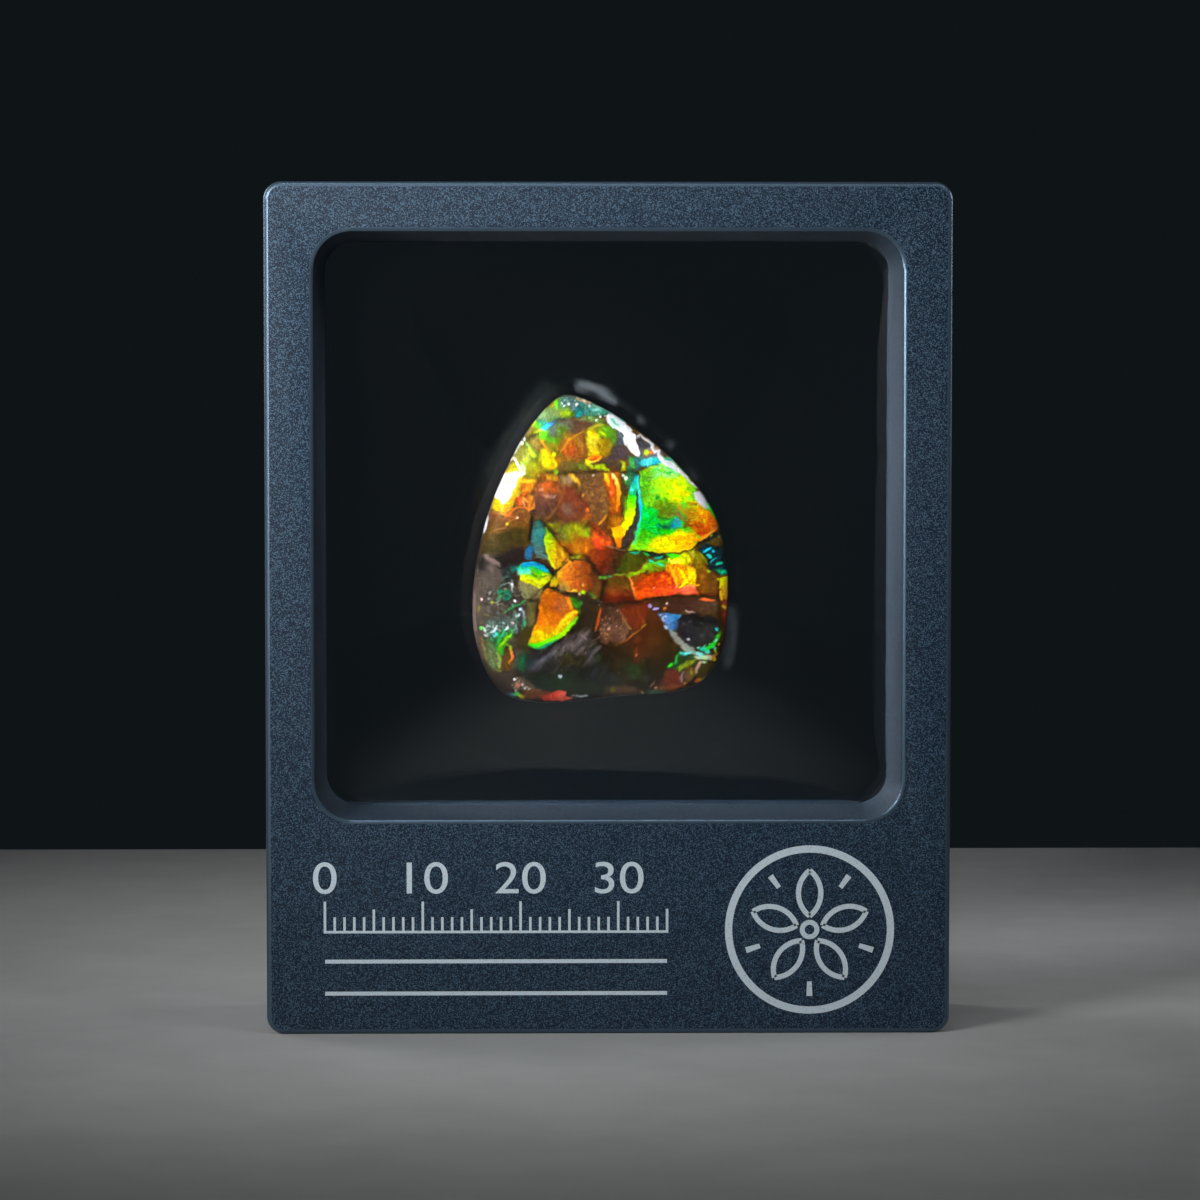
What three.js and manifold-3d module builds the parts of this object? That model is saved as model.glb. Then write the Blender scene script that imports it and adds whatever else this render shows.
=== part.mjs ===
// Ammolite specimen held between two clear elastic films in a hinged display frame.
// Millimetres. X runs to the right, Y to the rear and Z up. The origin is the middle of the foot,
// on the surface that the frame stands on. The seam between the two halves is the plane Y = 0.
import * as THREE from 'three';
import { mergeVertices } from 'three/addons/utils/BufferGeometryUtils.js';
import Module from 'manifold-3d';

// ---- driving dimensions ----
const FRAME_WIDTH = 70;
const FRAME_HEIGHT = 87;
const HALF_DEPTH = 10; // each of the two halves
const CORNER_RADIUS = 1.8;
const EDGE_FILLET = 0.5;

const WINDOW_SIDE = 60; // at the outer faces
const WINDOW_BOTTOM = 22; // height of the label strip
const WINDOW_RADIUS = 3.9;
const WINDOW_DRAFT = 0.7; // how far each wall leans in on its way to the seam
const WINDOW_EDGE_FILLET = 0.35;

const SEAM_GAP = 0.12;
const PARTING_GROOVE = { width: 0.5, depth: 0.25 };

const FILM_THICKNESS = 0.25;
const FILM_LIP = 1.6; // how far the film reaches under the frame
const FILM_TO_SEAM = 0.09;
const REBATE_CLEARANCE = 0.03; // behind the film, in the depth of its rebate
const REBATE_SIDE_CLEARANCE = 0.25; // around the film's edge
const FILM_TO_STONE = 0.14;
const FILM_SAG = 1.35; // 1 would be a straight tent from the stone to the frame
const FILM_FLAT = FILM_LIP / 4; // how far under the frame the film stops falling and lies flat

const HINGE_DEPTH = 1.1; // axis below the top face, also the knuckle radius
const HINGE_RELIEF_DEG = 47; // lean of each side of the groove that lets the halves open to 90 degrees
const KNUCKLE_CLEARANCE = 0.25;
const KNUCKLE_GAP = 0.3;
const CENTRE_KNUCKLE_HALF = 9;
const HINGE_HALF = 20;
const PIN_RADIUS = 0.45;
const PIN_CLEARANCE = 0.08;
const PIN_END_INSET = 0.4;

// Outline of the polished face, X and Z, clockwise from the tip.
const STONE_OUTLINE = [
  [-4.4, 65.4], [-1.4, 64.5], [3.4, 61.6], [8.2, 57.3], [10.8, 53.8], [12.3, 49.4],
  [12.6, 44.8], [11.7, 38.0], [9.1, 35.1], [0.9, 34.0], [-7.4, 33.4], [-11.0, 34.5],
  [-13.5, 38.9], [-14.0, 44.7], [-12.8, 51.7], [-10.6, 57.5], [-7.8, 62.4],
];
const STONE_CENTRE = [-0.9, 47.6];
// Section of the stone: share of the outline's reach, and depth from the seam plane.
const STONE_FACE = [[0, -3.35], [0.3, -3.3], [0.58, -3.12], [0.8, -2.8], [0.92, -2.38], [0.98, -1.75]];
const STONE_SIDE = [[1, -1.0], [0.99, 0.7], [0.96, 1.9], [0.89, 2.6]];
const STONE_BACK = [[0.72, 2.95], [0.4, 3.05], [0, 3.08]];
const COLUMNS = 48; // facets around the stone and the films

// ---- fineness ----
const CORNER_SEGMENTS = 6; // facets around each rounded corner
const BAR_SIDES = 20;
const FILLET_SEGMENTS = 3;
const MERGE_TOLERANCE = 1e-5;
const BISECTION_STEPS = 40;

// ---- worked out from them ----
const WINDOW_CENTRE_Z = WINDOW_BOTTOM + WINDOW_SIDE / 2;
const SEAM_SIDE = WINDOW_SIDE - 2 * WINDOW_DRAFT;
const SEAM_RADIUS = WINDOW_RADIUS - WINDOW_DRAFT;
const FILM_SIDE = SEAM_SIDE + 2 * FILM_LIP;
const FILM_RADIUS = SEAM_RADIUS + FILM_LIP;
const REBATE_FLOOR = FILM_TO_SEAM + FILM_THICKNESS + REBATE_CLEARANCE;
const HINGE_Z = FRAME_HEIGHT - HINGE_DEPTH;
const PAST = 2; // how far a cutting shape runs past what it cuts

// ---- solids ----
const wasm = await Module();
wasm.setup();

function solid(geometry) {
  const plain = geometry.index ? geometry.toNonIndexed() : geometry.clone();
  plain.deleteAttribute('normal');
  plain.deleteAttribute('uv');
  const merged = mergeVertices(plain, MERGE_TOLERANCE);
  const corners = merged.index.array;
  const triangles = [];
  for (let i = 0; i < corners.length; i += 3) {
    const [a, b, c] = corners.slice(i, i + 3);
    if (a !== b && b !== c && c !== a) triangles.push(a, b, c);
  }
  return new wasm.Manifold(new wasm.Mesh({
    numProp: 3,
    vertProperties: new Float32Array(merged.attributes.position.array),
    triVerts: new Uint32Array(triangles),
  }));
}

function geometryOf(manifold) {
  const mesh = manifold.getMesh();
  const geometry = new THREE.BufferGeometry();
  geometry.setAttribute('position', new THREE.BufferAttribute(mesh.vertProperties, 3));
  geometry.setIndex(new THREE.BufferAttribute(mesh.triVerts, 1));
  return geometry;
}

// A rectangle with round corners, centred on X = 0, from one height to another.
function roundedRectangle(width, bottom, top, radius) {
  const half = width / 2;
  const shape = new THREE.Shape();
  shape.moveTo(-half + radius, bottom);
  shape.lineTo(half - radius, bottom);
  shape.absarc(half - radius, bottom + radius, radius, -Math.PI / 2, 0);
  shape.lineTo(half, top - radius);
  shape.absarc(half - radius, top - radius, radius, 0, Math.PI / 2);
  shape.lineTo(-half + radius, top);
  shape.absarc(-half + radius, top - radius, radius, Math.PI / 2, Math.PI);
  shape.lineTo(-half, bottom + radius);
  shape.absarc(-half + radius, bottom + radius, radius, Math.PI, Math.PI * 1.5);
  return shape;
}

function windowSquare(side, radius) {
  return roundedRectangle(side, WINDOW_CENTRE_Z - side / 2, WINDOW_CENTRE_Z + side / 2, radius);
}

// Extrudes a shape drawn in X and Z from the plane Y = start towards the front.
function towardsFront(shape, start, options) {
  const geometry = new THREE.ExtrudeGeometry(shape, {
    curveSegments: CORNER_SEGMENTS, bevelEnabled: false, ...options,
  });
  geometry.translate(0, 0, options.bevelThickness ?? 0);
  geometry.rotateX(Math.PI / 2);
  geometry.translate(0, start, 0);
  return geometry;
}

function turnedToRear(geometry) {
  return geometry.clone().rotateZ(Math.PI);
}

function barAlongX(radius, from, to) {
  const geometry = new THREE.CylinderGeometry(radius, radius, to - from, BAR_SIDES);
  geometry.rotateZ(Math.PI / 2);
  geometry.translate((from + to) / 2, 0, HINGE_Z);
  return geometry;
}

// ---- the two frame halves ----
function frameBlank() {
  const shape = roundedRectangle(FRAME_WIDTH, 0, FRAME_HEIGHT, CORNER_RADIUS);
  return solid(towardsFront(shape, HALF_DEPTH, {
    depth: 2 * (HALF_DEPTH - EDGE_FILLET),
    bevelEnabled: true,
    bevelThickness: EDGE_FILLET,
    bevelSize: EDGE_FILLET,
    bevelOffset: -EDGE_FILLET,
    bevelSegments: FILLET_SEGMENTS,
  }));
}

function windowCutter() {
  const walls = solid(towardsFront(windowSquare(SEAM_SIDE, SEAM_RADIUS), 0, {
    depth: PAST,
    bevelEnabled: true,
    bevelThickness: HALF_DEPTH,
    bevelSize: WINDOW_DRAFT,
    bevelSegments: 1,
  }));
  // The narrow gap at the seam, as wide as the opening there.
  const seamSlice = solid(towardsFront(windowSquare(SEAM_SIDE, SEAM_RADIUS), SEAM_GAP, { depth: 2 * SEAM_GAP }));
  const edge = solid(towardsFront(windowSquare(WINDOW_SIDE, WINDOW_RADIUS), WINDOW_EDGE_FILLET - HALF_DEPTH, {
    depth: PAST,
    bevelEnabled: true,
    bevelThickness: WINDOW_EDGE_FILLET,
    bevelSize: WINDOW_EDGE_FILLET,
    bevelSegments: 1,
  }));
  return walls.add(seamSlice).add(edge);
}

// The shallow step around the window that the film's edge lies in.
function filmRebate() {
  const side = FILM_SIDE + 2 * REBATE_SIDE_CLEARANCE;
  return solid(towardsFront(windowSquare(side, FILM_RADIUS + REBATE_SIDE_CLEARANCE), 0, { depth: REBATE_FLOOR }));
}

function partingGroove() {
  const outer = roundedRectangle(FRAME_WIDTH + PAST, -PAST / 2, FRAME_HEIGHT + PAST / 2, CORNER_RADIUS);
  const { width, depth } = PARTING_GROOVE;
  outer.holes.push(roundedRectangle(FRAME_WIDTH - 2 * depth, depth, FRAME_HEIGHT - depth, CORNER_RADIUS - depth));
  return solid(towardsFront(outer, width / 2, { depth: width }));
}

// The groove along the top of the seam, with its bottom edge on the hinge axis.
function hingeRelief() {
  const rise = HINGE_DEPTH + PAST;
  const reach = rise * Math.tan(THREE.MathUtils.degToRad(HINGE_RELIEF_DEG));
  const shape = new THREE.Shape();
  shape.moveTo(0, HINGE_Z);
  shape.lineTo(reach, HINGE_Z + rise);
  shape.lineTo(-reach, HINGE_Z + rise);
  const length = FRAME_WIDTH + 2 * PAST;
  const geometry = new THREE.ExtrudeGeometry(shape, { depth: length, bevelEnabled: false });
  geometry.translate(0, 0, -length / 2);
  geometry.applyMatrix4(new THREE.Matrix4().makeBasis(
    new THREE.Vector3(0, 1, 0), new THREE.Vector3(0, 0, 1), new THREE.Vector3(1, 0, 0)));
  return solid(geometry);
}

function halfSpace(side) {
  const box = new THREE.BoxGeometry(FRAME_WIDTH + 2 * PAST, HALF_DEPTH + PAST, FRAME_HEIGHT + 2 * PAST);
  box.translate(0, side * (SEAM_GAP + HALF_DEPTH + PAST) / 2, FRAME_HEIGHT / 2);
  return solid(box);
}

function bothSides(from, to, radius) {
  return solid(barAlongX(radius, from, to)).add(solid(barAlongX(radius, -to, -from)));
}

const pinHole = solid(barAlongX(PIN_RADIUS + PIN_CLEARANCE, -HINGE_HALF - PAST, HINGE_HALF + PAST));
const pocketRadius = HINGE_DEPTH + KNUCKLE_CLEARANCE;
const outerKnuckleStart = CENTRE_KNUCKLE_HALF + KNUCKLE_GAP;
const blank = frameBlank().subtract(partingGroove()).subtract(hingeRelief());

function frameFront() {
  const half = blank.intersect(halfSpace(-1)).subtract(windowCutter()).subtract(filmRebate());
  const pockets = bothSides(CENTRE_KNUCKLE_HALF, HINGE_HALF + KNUCKLE_GAP, pocketRadius);
  const knuckle = solid(barAlongX(HINGE_DEPTH, -CENTRE_KNUCKLE_HALF, CENTRE_KNUCKLE_HALF));
  return half.subtract(pockets).add(knuckle).subtract(pinHole);
}

function frameRear() {
  const window = solid(turnedToRear(geometryOf(windowCutter())));
  const rebate = solid(turnedToRear(geometryOf(filmRebate())));
  const pocket = solid(barAlongX(pocketRadius, -outerKnuckleStart, outerKnuckleStart));
  const knuckles = bothSides(outerKnuckleStart, HINGE_HALF, HINGE_DEPTH);
  return blank.intersect(halfSpace(1)).subtract(window).subtract(rebate).subtract(pocket)
    .add(knuckles).subtract(pinHole);
}

// ---- the stone ----
const outlineCurve = new THREE.CatmullRomCurve3(
  STONE_OUTLINE.map(([x, z]) => new THREE.Vector3(x, 0, z)), true, 'centripetal');
const centre = new THREE.Vector3(STONE_CENTRE[0], 0, STONE_CENTRE[1]);

// One spoke per column, from the stone's middle to its outline.
const spokes = outlineCurve.getSpacedPoints(COLUMNS).slice(0, COLUMNS).map((point) => {
  const reach = point.clone().sub(centre);
  return { reach: reach.length(), direction: reach.clone().normalize() };
});

// Turns a profile into a closed body. Each profile row gives one point per spoke.
function spun(rows) {
  const geometry = new THREE.LatheGeometry(rows.map((row, i) => new THREE.Vector2(row.onAxis ? 0 : 1, i)), COLUMNS);
  const position = geometry.attributes.position;
  for (let column = 0; column <= COLUMNS; column++) {
    rows.forEach((row, i) => {
      const point = row.at(spokes[column % COLUMNS]);
      position.setXYZ(column * rows.length + i, point.x, point.y, point.z);
    });
  }
  return solid(geometry);
}

function onSpoke(share, depth) {
  return {
    onAxis: share === 0,
    at: (spoke) => centre.clone().addScaledVector(spoke.direction, share * spoke.reach).setY(depth),
  };
}

function ammolite() {
  return spun([...STONE_FACE, ...STONE_SIDE, ...STONE_BACK].map(([share, depth]) => onSpoke(share, depth)));
}

// ---- the films ----
// How far a spoke runs until it meets the rounded square around the window's centre.
function reachOfSquare(direction, side, radius) {
  const inner = side / 2 - radius;
  const outside = (distance) => {
    const x = Math.abs(centre.x + direction.x * distance) - inner;
    const z = Math.abs(centre.z + direction.z * distance - WINDOW_CENTRE_Z) - inner;
    const corner = Math.hypot(Math.max(x, 0), Math.max(z, 0));
    return (corner > 0 ? corner : Math.max(x, z)) - radius;
  };
  let near = 0;
  let far = side;
  for (let step = 0; step < BISECTION_STEPS; step++) {
    const middle = (near + far) / 2;
    if (outside(middle) > 0) far = middle;
    else near = middle;
  }
  return near;
}

// The film follows the stone's face, leaves it at the rim and runs out to the frame.
const TOUCHING = 5; // rows of the face that the film lies on
const TENT_STEPS = [0.1, 0.24, 0.42, 0.64, 0.86, 1];

function filmRows(offset) {
  const rim = STONE_FACE[TOUCHING - 1];
  const drop = -rim[1] + FILM_TO_STONE - FILM_TO_SEAM;
  const touching = STONE_FACE.slice(0, TOUCHING)
    .map(([share, depth]) => onSpoke(share, depth - FILM_TO_STONE - offset));
  const tent = TENT_STEPS.map((step) => ({
    onAxis: false,
    at: (spoke) => {
      const start = rim[0] * spoke.reach;
      const end = reachOfSquare(spoke.direction, SEAM_SIDE, SEAM_RADIUS) - FILM_FLAT;
      const height = drop * (1 - step) ** FILM_SAG + FILM_TO_SEAM + offset;
      return centre.clone().addScaledVector(spoke.direction, start + (end - start) * step).setY(-height);
    },
  }));
  const edge = {
    onAxis: false,
    at: (spoke) => centre.clone()
      .addScaledVector(spoke.direction, reachOfSquare(spoke.direction, FILM_SIDE, FILM_RADIUS))
      .setY(-FILM_TO_SEAM - offset),
  };
  return [...touching, ...tent, edge];
}

function film(toRear) {
  const rows = [...filmRows(FILM_THICKNESS), ...filmRows(0).reverse()];
  if (!toRear) return spun(rows);
  return spun(rows.reverse().map(({ onAxis, at }) => ({
    onAxis,
    at: (spoke) => at(spoke).multiply(new THREE.Vector3(1, -1, 1)),
  })));
}

// ---- materials ----
const slateAbs = new THREE.MeshStandardMaterial({ color: 0x3a4b5c, roughness: 0.55, metalness: 0 });
const clearFilm = new THREE.MeshStandardMaterial({
  color: 0xf2f4f4, roughness: 0.12, metalness: 0, transparent: true, opacity: 0.2,
});
const nacre = new THREE.MeshStandardMaterial({ color: 0x8a6a2c, roughness: 0.2, metalness: 0.3 });
const steel = new THREE.MeshStandardMaterial({ color: 0xb8bcc0, roughness: 0.35, metalness: 1 });

// ---- the assembly ----
const specimen = new THREE.Group();

function addPiece(name, body, material) {
  const mesh = new THREE.Mesh(geometryOf(body), material);
  mesh.name = name;
  specimen.add(mesh);
}

addPiece('frame_front', frameFront(), slateAbs);
addPiece('frame_rear', frameRear(), slateAbs);
addPiece('hinge_pin', solid(barAlongX(PIN_RADIUS, PIN_END_INSET - HINGE_HALF, HINGE_HALF - PIN_END_INSET)), steel);
addPiece('membrane_front', film(false), clearFilm);
addPiece('membrane_rear', film(true), clearFilm);
addPiece('ammolite', ammolite(), nacre);

export default specimen;
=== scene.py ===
"""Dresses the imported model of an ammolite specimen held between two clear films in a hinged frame.

Sizes that describe the object are in millimetres and MM turns them into Blender's metres. X runs to the
right, Y to the rear and Z up, with the origin in the middle of the frame's foot.
"""

import math

import bmesh
import bpy
import numpy as np
from mathutils import Matrix, Vector, noise


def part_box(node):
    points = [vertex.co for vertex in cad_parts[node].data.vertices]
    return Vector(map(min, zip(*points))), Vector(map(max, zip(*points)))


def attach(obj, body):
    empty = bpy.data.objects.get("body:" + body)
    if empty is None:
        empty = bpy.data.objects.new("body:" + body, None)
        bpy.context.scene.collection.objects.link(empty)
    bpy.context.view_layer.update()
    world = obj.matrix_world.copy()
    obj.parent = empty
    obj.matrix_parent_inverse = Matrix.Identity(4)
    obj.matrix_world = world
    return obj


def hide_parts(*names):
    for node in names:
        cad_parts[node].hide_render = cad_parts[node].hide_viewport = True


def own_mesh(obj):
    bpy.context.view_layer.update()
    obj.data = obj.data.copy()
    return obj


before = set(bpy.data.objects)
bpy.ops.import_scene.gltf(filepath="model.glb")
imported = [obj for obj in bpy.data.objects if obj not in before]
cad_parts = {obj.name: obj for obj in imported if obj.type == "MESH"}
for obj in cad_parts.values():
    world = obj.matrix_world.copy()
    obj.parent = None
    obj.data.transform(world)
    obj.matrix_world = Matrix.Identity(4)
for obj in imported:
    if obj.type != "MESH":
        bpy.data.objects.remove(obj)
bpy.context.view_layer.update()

bl_info = {
    "name": "Ammolite in a floating film frame",
    "version": (1, 0, 0),
    "blender": (4, 5, 0),
    "location": "3D View > Sidebar > Ammolite",
    "description": "Gives the packed display frame its stage, plastic, label, films and specimen",
    "category": "Add Mesh",
}

MM = 0.001
FRONT_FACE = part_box("frame_front")[0].y  # the plane that the label is printed on
MERGE_GAP = 0.001 * MM


# ---- colour and nodes ----
def linearised(channels):
    """Linear values of sRGB channels from 0 to 1."""
    return np.where(channels <= 0.04045, channels / 12.92, ((channels + 0.055) / 1.055) ** 2.4)


def to_linear(code):
    """Linear red, green, blue and alpha of an sRGB hex colour."""
    channels = np.array([int(code[i:i + 2], 16) for i in (1, 3, 5)]) / 255
    return (*linearised(channels).tolist(), 1.0)


def add_node(material, kind, inputs=None, **settings):
    """Adds a node. Each input takes a plain value or the socket that feeds it."""
    tree = material.node_tree
    node = tree.nodes.new(kind)
    for name, value in settings.items():
        setattr(node, name, value)
    for name, value in (inputs or {}).items():
        if isinstance(value, bpy.types.NodeSocket):
            tree.links.new(value, node.inputs[name])
        else:
            node.inputs[name].default_value = value
    return node


def new_material(name):
    """A material with an empty tree and an output."""
    material = bpy.data.materials.new(name)
    material.use_nodes = True
    material.node_tree.nodes.clear()
    add_node(material, "ShaderNodeOutputMaterial")
    return material


def finish_material(material, shader):
    """Joins the shader to the output."""
    output = material.node_tree.nodes["Material Output"]
    material.node_tree.links.new(shader.outputs[0], output.inputs["Surface"])
    return material


def per_metre(millimetres):
    """Noise scale whose features are about this many millimetres wide."""
    return 1 / (millimetres * MM)


# ---- mesh helpers ----
def new_piece(name, mesh_builder, material):
    """An object at the origin whose mesh comes from a bmesh, which is freed here."""
    mesh = bpy.data.meshes.new(name)
    mesh_builder.to_mesh(mesh)
    mesh_builder.free()
    mesh.materials.append(material)
    piece = bpy.data.objects.new(name, mesh)
    bpy.context.scene.collection.objects.link(piece)
    return piece


def merged_copy(node):
    """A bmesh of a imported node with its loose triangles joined."""
    bm = bmesh.new()
    bm.from_mesh(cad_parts[node].data)
    bmesh.ops.remove_doubles(bm, verts=bm.verts, dist=MERGE_GAP)
    return bm


def shade(piece, crease_degrees):
    """Smooth shading that stays crisp at edges sharper than the given angle."""
    piece.data.shade_smooth()
    piece.data.set_sharp_from_angle(angle=math.radians(crease_degrees))


def apply_modifiers(piece):
    """Keeps the modified mesh as the piece's own."""
    graph = bpy.context.evaluated_depsgraph_get()
    piece.data = bpy.data.meshes.new_from_object(piece.evaluated_get(graph))
    piece.modifiers.clear()


# ---- stage ----
CAMERA_PLACE = Vector((-6.47, -399.38, 65.48)) * MM
CAMERA_TARGET = Vector((-0.727, 0, 43.995)) * MM
CAMERA_LENS = 114.81
CAMERA_SENSOR = 36.0
CAMERA_CLIP = 10 * MM

FLOOR_HALF_WIDTH = 420 * MM
FLOOR_FRONT = -620 * MM
FLOOR_REAR = 150 * MM
BOARD_MOTTLE = 9  # width of the mottled patches in mm

# Each soft box: its name, its place, what it aims at, its width and height in mm, and its spread in degrees.
LIGHTS = (
    ("key", (-140, -168, 120), (-22, 0, 84), 90, 60, 60),
    ("fill", (180, -170, 320), (0, 0, 50), 120, 120, 60),
    ("side", (300, 60, 140), (0, 0, 45), 120, 120, 60),
    ("top", (-20, -150, 290), (0, -4, 34), 100, 40, 34),
    ("back", (-250, 150, 160), (0, 0, 60), 140, 140, 60),
)


class StageLook(bpy.types.PropertyGroup):
    key_power: bpy.props.FloatProperty(
        name="Key light", description="Power of the soft light from the upper left",
        default=0.096, unit="POWER")
    fill_power: bpy.props.FloatProperty(
        name="Fill light", description="Power of the weak light from high on the right",
        default=0.02, unit="POWER")
    side_power: bpy.props.FloatProperty(
        name="Side light", description="Power of the weak light on the right side",
        default=0.03, unit="POWER")
    top_power: bpy.props.FloatProperty(
        name="Top light", description="Power of the weak light above the front",
        default=0.0045, unit="POWER")
    back_power: bpy.props.FloatProperty(
        name="Back light", description="Power of the soft light behind the object",
        default=0.045, unit="POWER")
    floor_colour: bpy.props.FloatVectorProperty(
        name="Floor", description="Pale matt board",
        default=to_linear("#A9ABAB")[:3], size=3, subtype="COLOR")
    air_colour: bpy.props.FloatVectorProperty(
        name="Surroundings", description="Unlit studio around the stage",
        default=to_linear("#0F1417")[:3], size=3, subtype="COLOR")


def aim(thing, place, target):
    """Puts a camera or a lamp at a place and turns it to a target."""
    thing.location = place
    thing.rotation_euler = (target - place).to_track_quat("-Z", "Y").to_euler()


def add_light(name, place, target, width, height, spread, power):
    """A soft box that the camera doesn't see."""
    light = bpy.data.lights.new(name, "AREA")
    light.shape = "RECTANGLE"
    light.size = width * MM
    light.size_y = height * MM
    light.energy = power
    light.spread = math.radians(spread)
    lamp = bpy.data.objects.new(name, light)
    bpy.context.scene.collection.objects.link(lamp)
    aim(lamp, Vector(place) * MM, Vector(target) * MM)
    lamp.visible_camera = False


def matt_board(colour):
    """Pale matt board: no gloss, with a faint mottle from its fibres."""
    material = new_material("matt_board")
    place = add_node(material, "ShaderNodeTexCoord").outputs["Object"]
    mottle = add_node(material, "ShaderNodeTexNoise", {
        "Vector": place, "Scale": per_metre(BOARD_MOTTLE), "Detail": 4.0})
    level = add_node(material, "ShaderNodeMapRange", {
        "Value": mottle.outputs["Fac"], "From Min": 0.3, "From Max": 0.7, "To Min": 0.94, "To Max": 1.03})
    tint = add_node(material, "ShaderNodeVectorMath", {0: (*colour,), 1: level.outputs["Result"]},
                    operation="MULTIPLY")
    shader = add_node(material, "ShaderNodeBsdfPrincipled", {
        "Base Color": tint.outputs["Vector"], "Roughness": 0.85, "Specular IOR Level": 0.2})
    return finish_material(material, shader)


class AMMOLITE_OT_stage(bpy.types.Operator):
    """Adds the floor, the camera, the soft lights and the dim surroundings"""
    bl_idname = "ammolite.stage"
    bl_label = "Stage"

    def execute(self, context):
        look = context.scene.ammolite_stage
        camera = bpy.data.objects.new("camera", bpy.data.cameras.new("camera"))
        context.scene.collection.objects.link(camera)
        camera.data.lens = CAMERA_LENS
        camera.data.sensor_width = CAMERA_SENSOR
        camera.data.clip_start = CAMERA_CLIP
        aim(camera, CAMERA_PLACE, CAMERA_TARGET)
        context.scene.camera = camera

        bm = bmesh.new()
        bmesh.ops.create_grid(bm, x_segments=8, y_segments=8, size=1)
        bmesh.ops.scale(bm, verts=bm.verts, vec=(FLOOR_HALF_WIDTH, (FLOOR_REAR - FLOOR_FRONT) / 2, 1))
        bmesh.ops.translate(bm, verts=bm.verts, vec=(0, (FLOOR_REAR + FLOOR_FRONT) / 2, 0))
        floor = new_piece("floor", bm, matt_board(look.floor_colour))

        for name, *layout in LIGHTS:
            add_light(name, *layout, power=getattr(look, f"{name}_power"))

        world = bpy.data.worlds.new("dim_studio")
        world.use_nodes = True
        world.node_tree.nodes["Background"].inputs["Color"].default_value = (*look.air_colour, 1)
        context.scene.world = world
        context.scene.view_settings.view_transform = "Standard"
        return {"FINISHED"}


# ---- frame halves and pin ----
GRAIN_DEPTH = 0.03 * MM
GLOSS_PATCHES = 14  # width in mm of the areas that differ in gloss
EDGE_FILLET = 0.5 * MM  # depth of the rounded edges behind the outer faces
EDGE_GAIN = 20  # how soon a facet that turns away from flat counts as rounded
EDGE_START = 0.6  # taken off that first, so that flat faces stay unmarked
EDGE_CREASE = 46  # degrees
WIRE_LINES = 0.1  # width of the drawing marks in mm
WIRE_STRETCH = 0.02  # scale along the wire, which draws the marks out fifty times


class FrameLook(bpy.types.PropertyGroup):
    plastic: bpy.props.FloatVectorProperty(
        name="Plastic", description="Slate blue of the moulding",
        default=to_linear("#0D1D2E")[:3], size=3, subtype="COLOR")
    fleck: bpy.props.FloatVectorProperty(
        name="Fleck", description="Crests of the spark-eroded grain",
        default=to_linear("#425A6E")[:3], size=3, subtype="COLOR")
    # A lighter colour on the rounded edges: a painted highlight, where the edges are also glossier.
    burnish: bpy.props.FloatVectorProperty(
        name="Burnish", description="Rounded edges, where the grain is rubbed smooth",
        default=to_linear("#566A7C")[:3], size=3, subtype="COLOR")
    grain: bpy.props.FloatProperty(
        name="Grain", description="Width of one grain of the spark-eroded finish",
        default=0.12 * MM, precision=5, unit="LENGTH")


def slate_abs(look):
    """Moulded ABS with a spark-eroded grain: satin, with glossier edges in a painted highlight colour."""
    material = new_material("slate_abs_spark_eroded")
    place = add_node(material, "ShaderNodeTexCoord").outputs["Object"]
    grain = add_node(material, "ShaderNodeTexNoise", {
        "Vector": place, "Scale": 1 / look.grain, "Detail": 1.0, "Roughness": 0.5})
    drift = add_node(material, "ShaderNodeTexNoise", {
        "Vector": place, "Scale": per_metre(GLOSS_PATCHES), "Detail": 2.0})
    crest = add_node(material, "ShaderNodeMapRange", {
        "Value": grain.outputs["Fac"], "From Min": 0.515, "From Max": 0.61})
    flecked = add_node(material, "ShaderNodeMix", {
        "Factor": crest.outputs["Result"], "A": (*look.plastic, 1), "B": (*look.fleck, 1)}, data_type="RGBA")
    rounded = add_node(material, "ShaderNodeAttribute", attribute_name="rounded").outputs["Fac"]
    # The rounded edges take the painted highlight colour.
    colour = add_node(material, "ShaderNodeMix", {
        "Factor": rounded, "A": flecked.outputs["Result"], "B": (*look.burnish, 1)}, data_type="RGBA")
    satin = add_node(material, "ShaderNodeMapRange", {
        "Value": drift.outputs["Fac"], "From Min": 0.3, "From Max": 0.7, "To Min": 0.46, "To Max": 0.58})
    rough = add_node(material, "ShaderNodeMapRange", {
        "Value": rounded, "To Min": satin.outputs["Result"], "To Max": 0.28})
    metal = add_node(material, "ShaderNodeMapRange", {"Value": rounded, "To Max": 0.7})
    bump = add_node(material, "ShaderNodeBump", {
        "Height": grain.outputs["Fac"], "Strength": 0.7, "Distance": GRAIN_DEPTH})
    shader = add_node(material, "ShaderNodeBsdfPrincipled", {
        "Base Color": colour.outputs["Result"], "Metallic": metal.outputs["Result"],
        "Roughness": rough.outputs["Result"], "Normal": bump.outputs["Normal"],
        "IOR": 1.53, "Specular IOR Level": 0.22})
    return finish_material(material, shader)


def drawn_steel():
    """Drawn steel wire: bright, with fine lines along its length."""
    material = new_material("drawn_steel")
    place = add_node(material, "ShaderNodeTexCoord").outputs["Object"]
    stretch = add_node(material, "ShaderNodeMapping", {"Vector": place, "Scale": (WIRE_STRETCH, 1, 1)})
    lines = add_node(material, "ShaderNodeTexNoise", {
        "Vector": stretch.outputs["Vector"], "Scale": per_metre(WIRE_LINES), "Detail": 2.0})
    rough = add_node(material, "ShaderNodeMapRange", {
        "Value": lines.outputs["Fac"], "To Min": 0.22, "To Max": 0.45})
    shader = add_node(material, "ShaderNodeBsdfPrincipled", {
        "Base Color": to_linear("#B9BCC0"), "Metallic": 1.0, "Roughness": rough.outputs["Result"]})
    return finish_material(material, shader)


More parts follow.
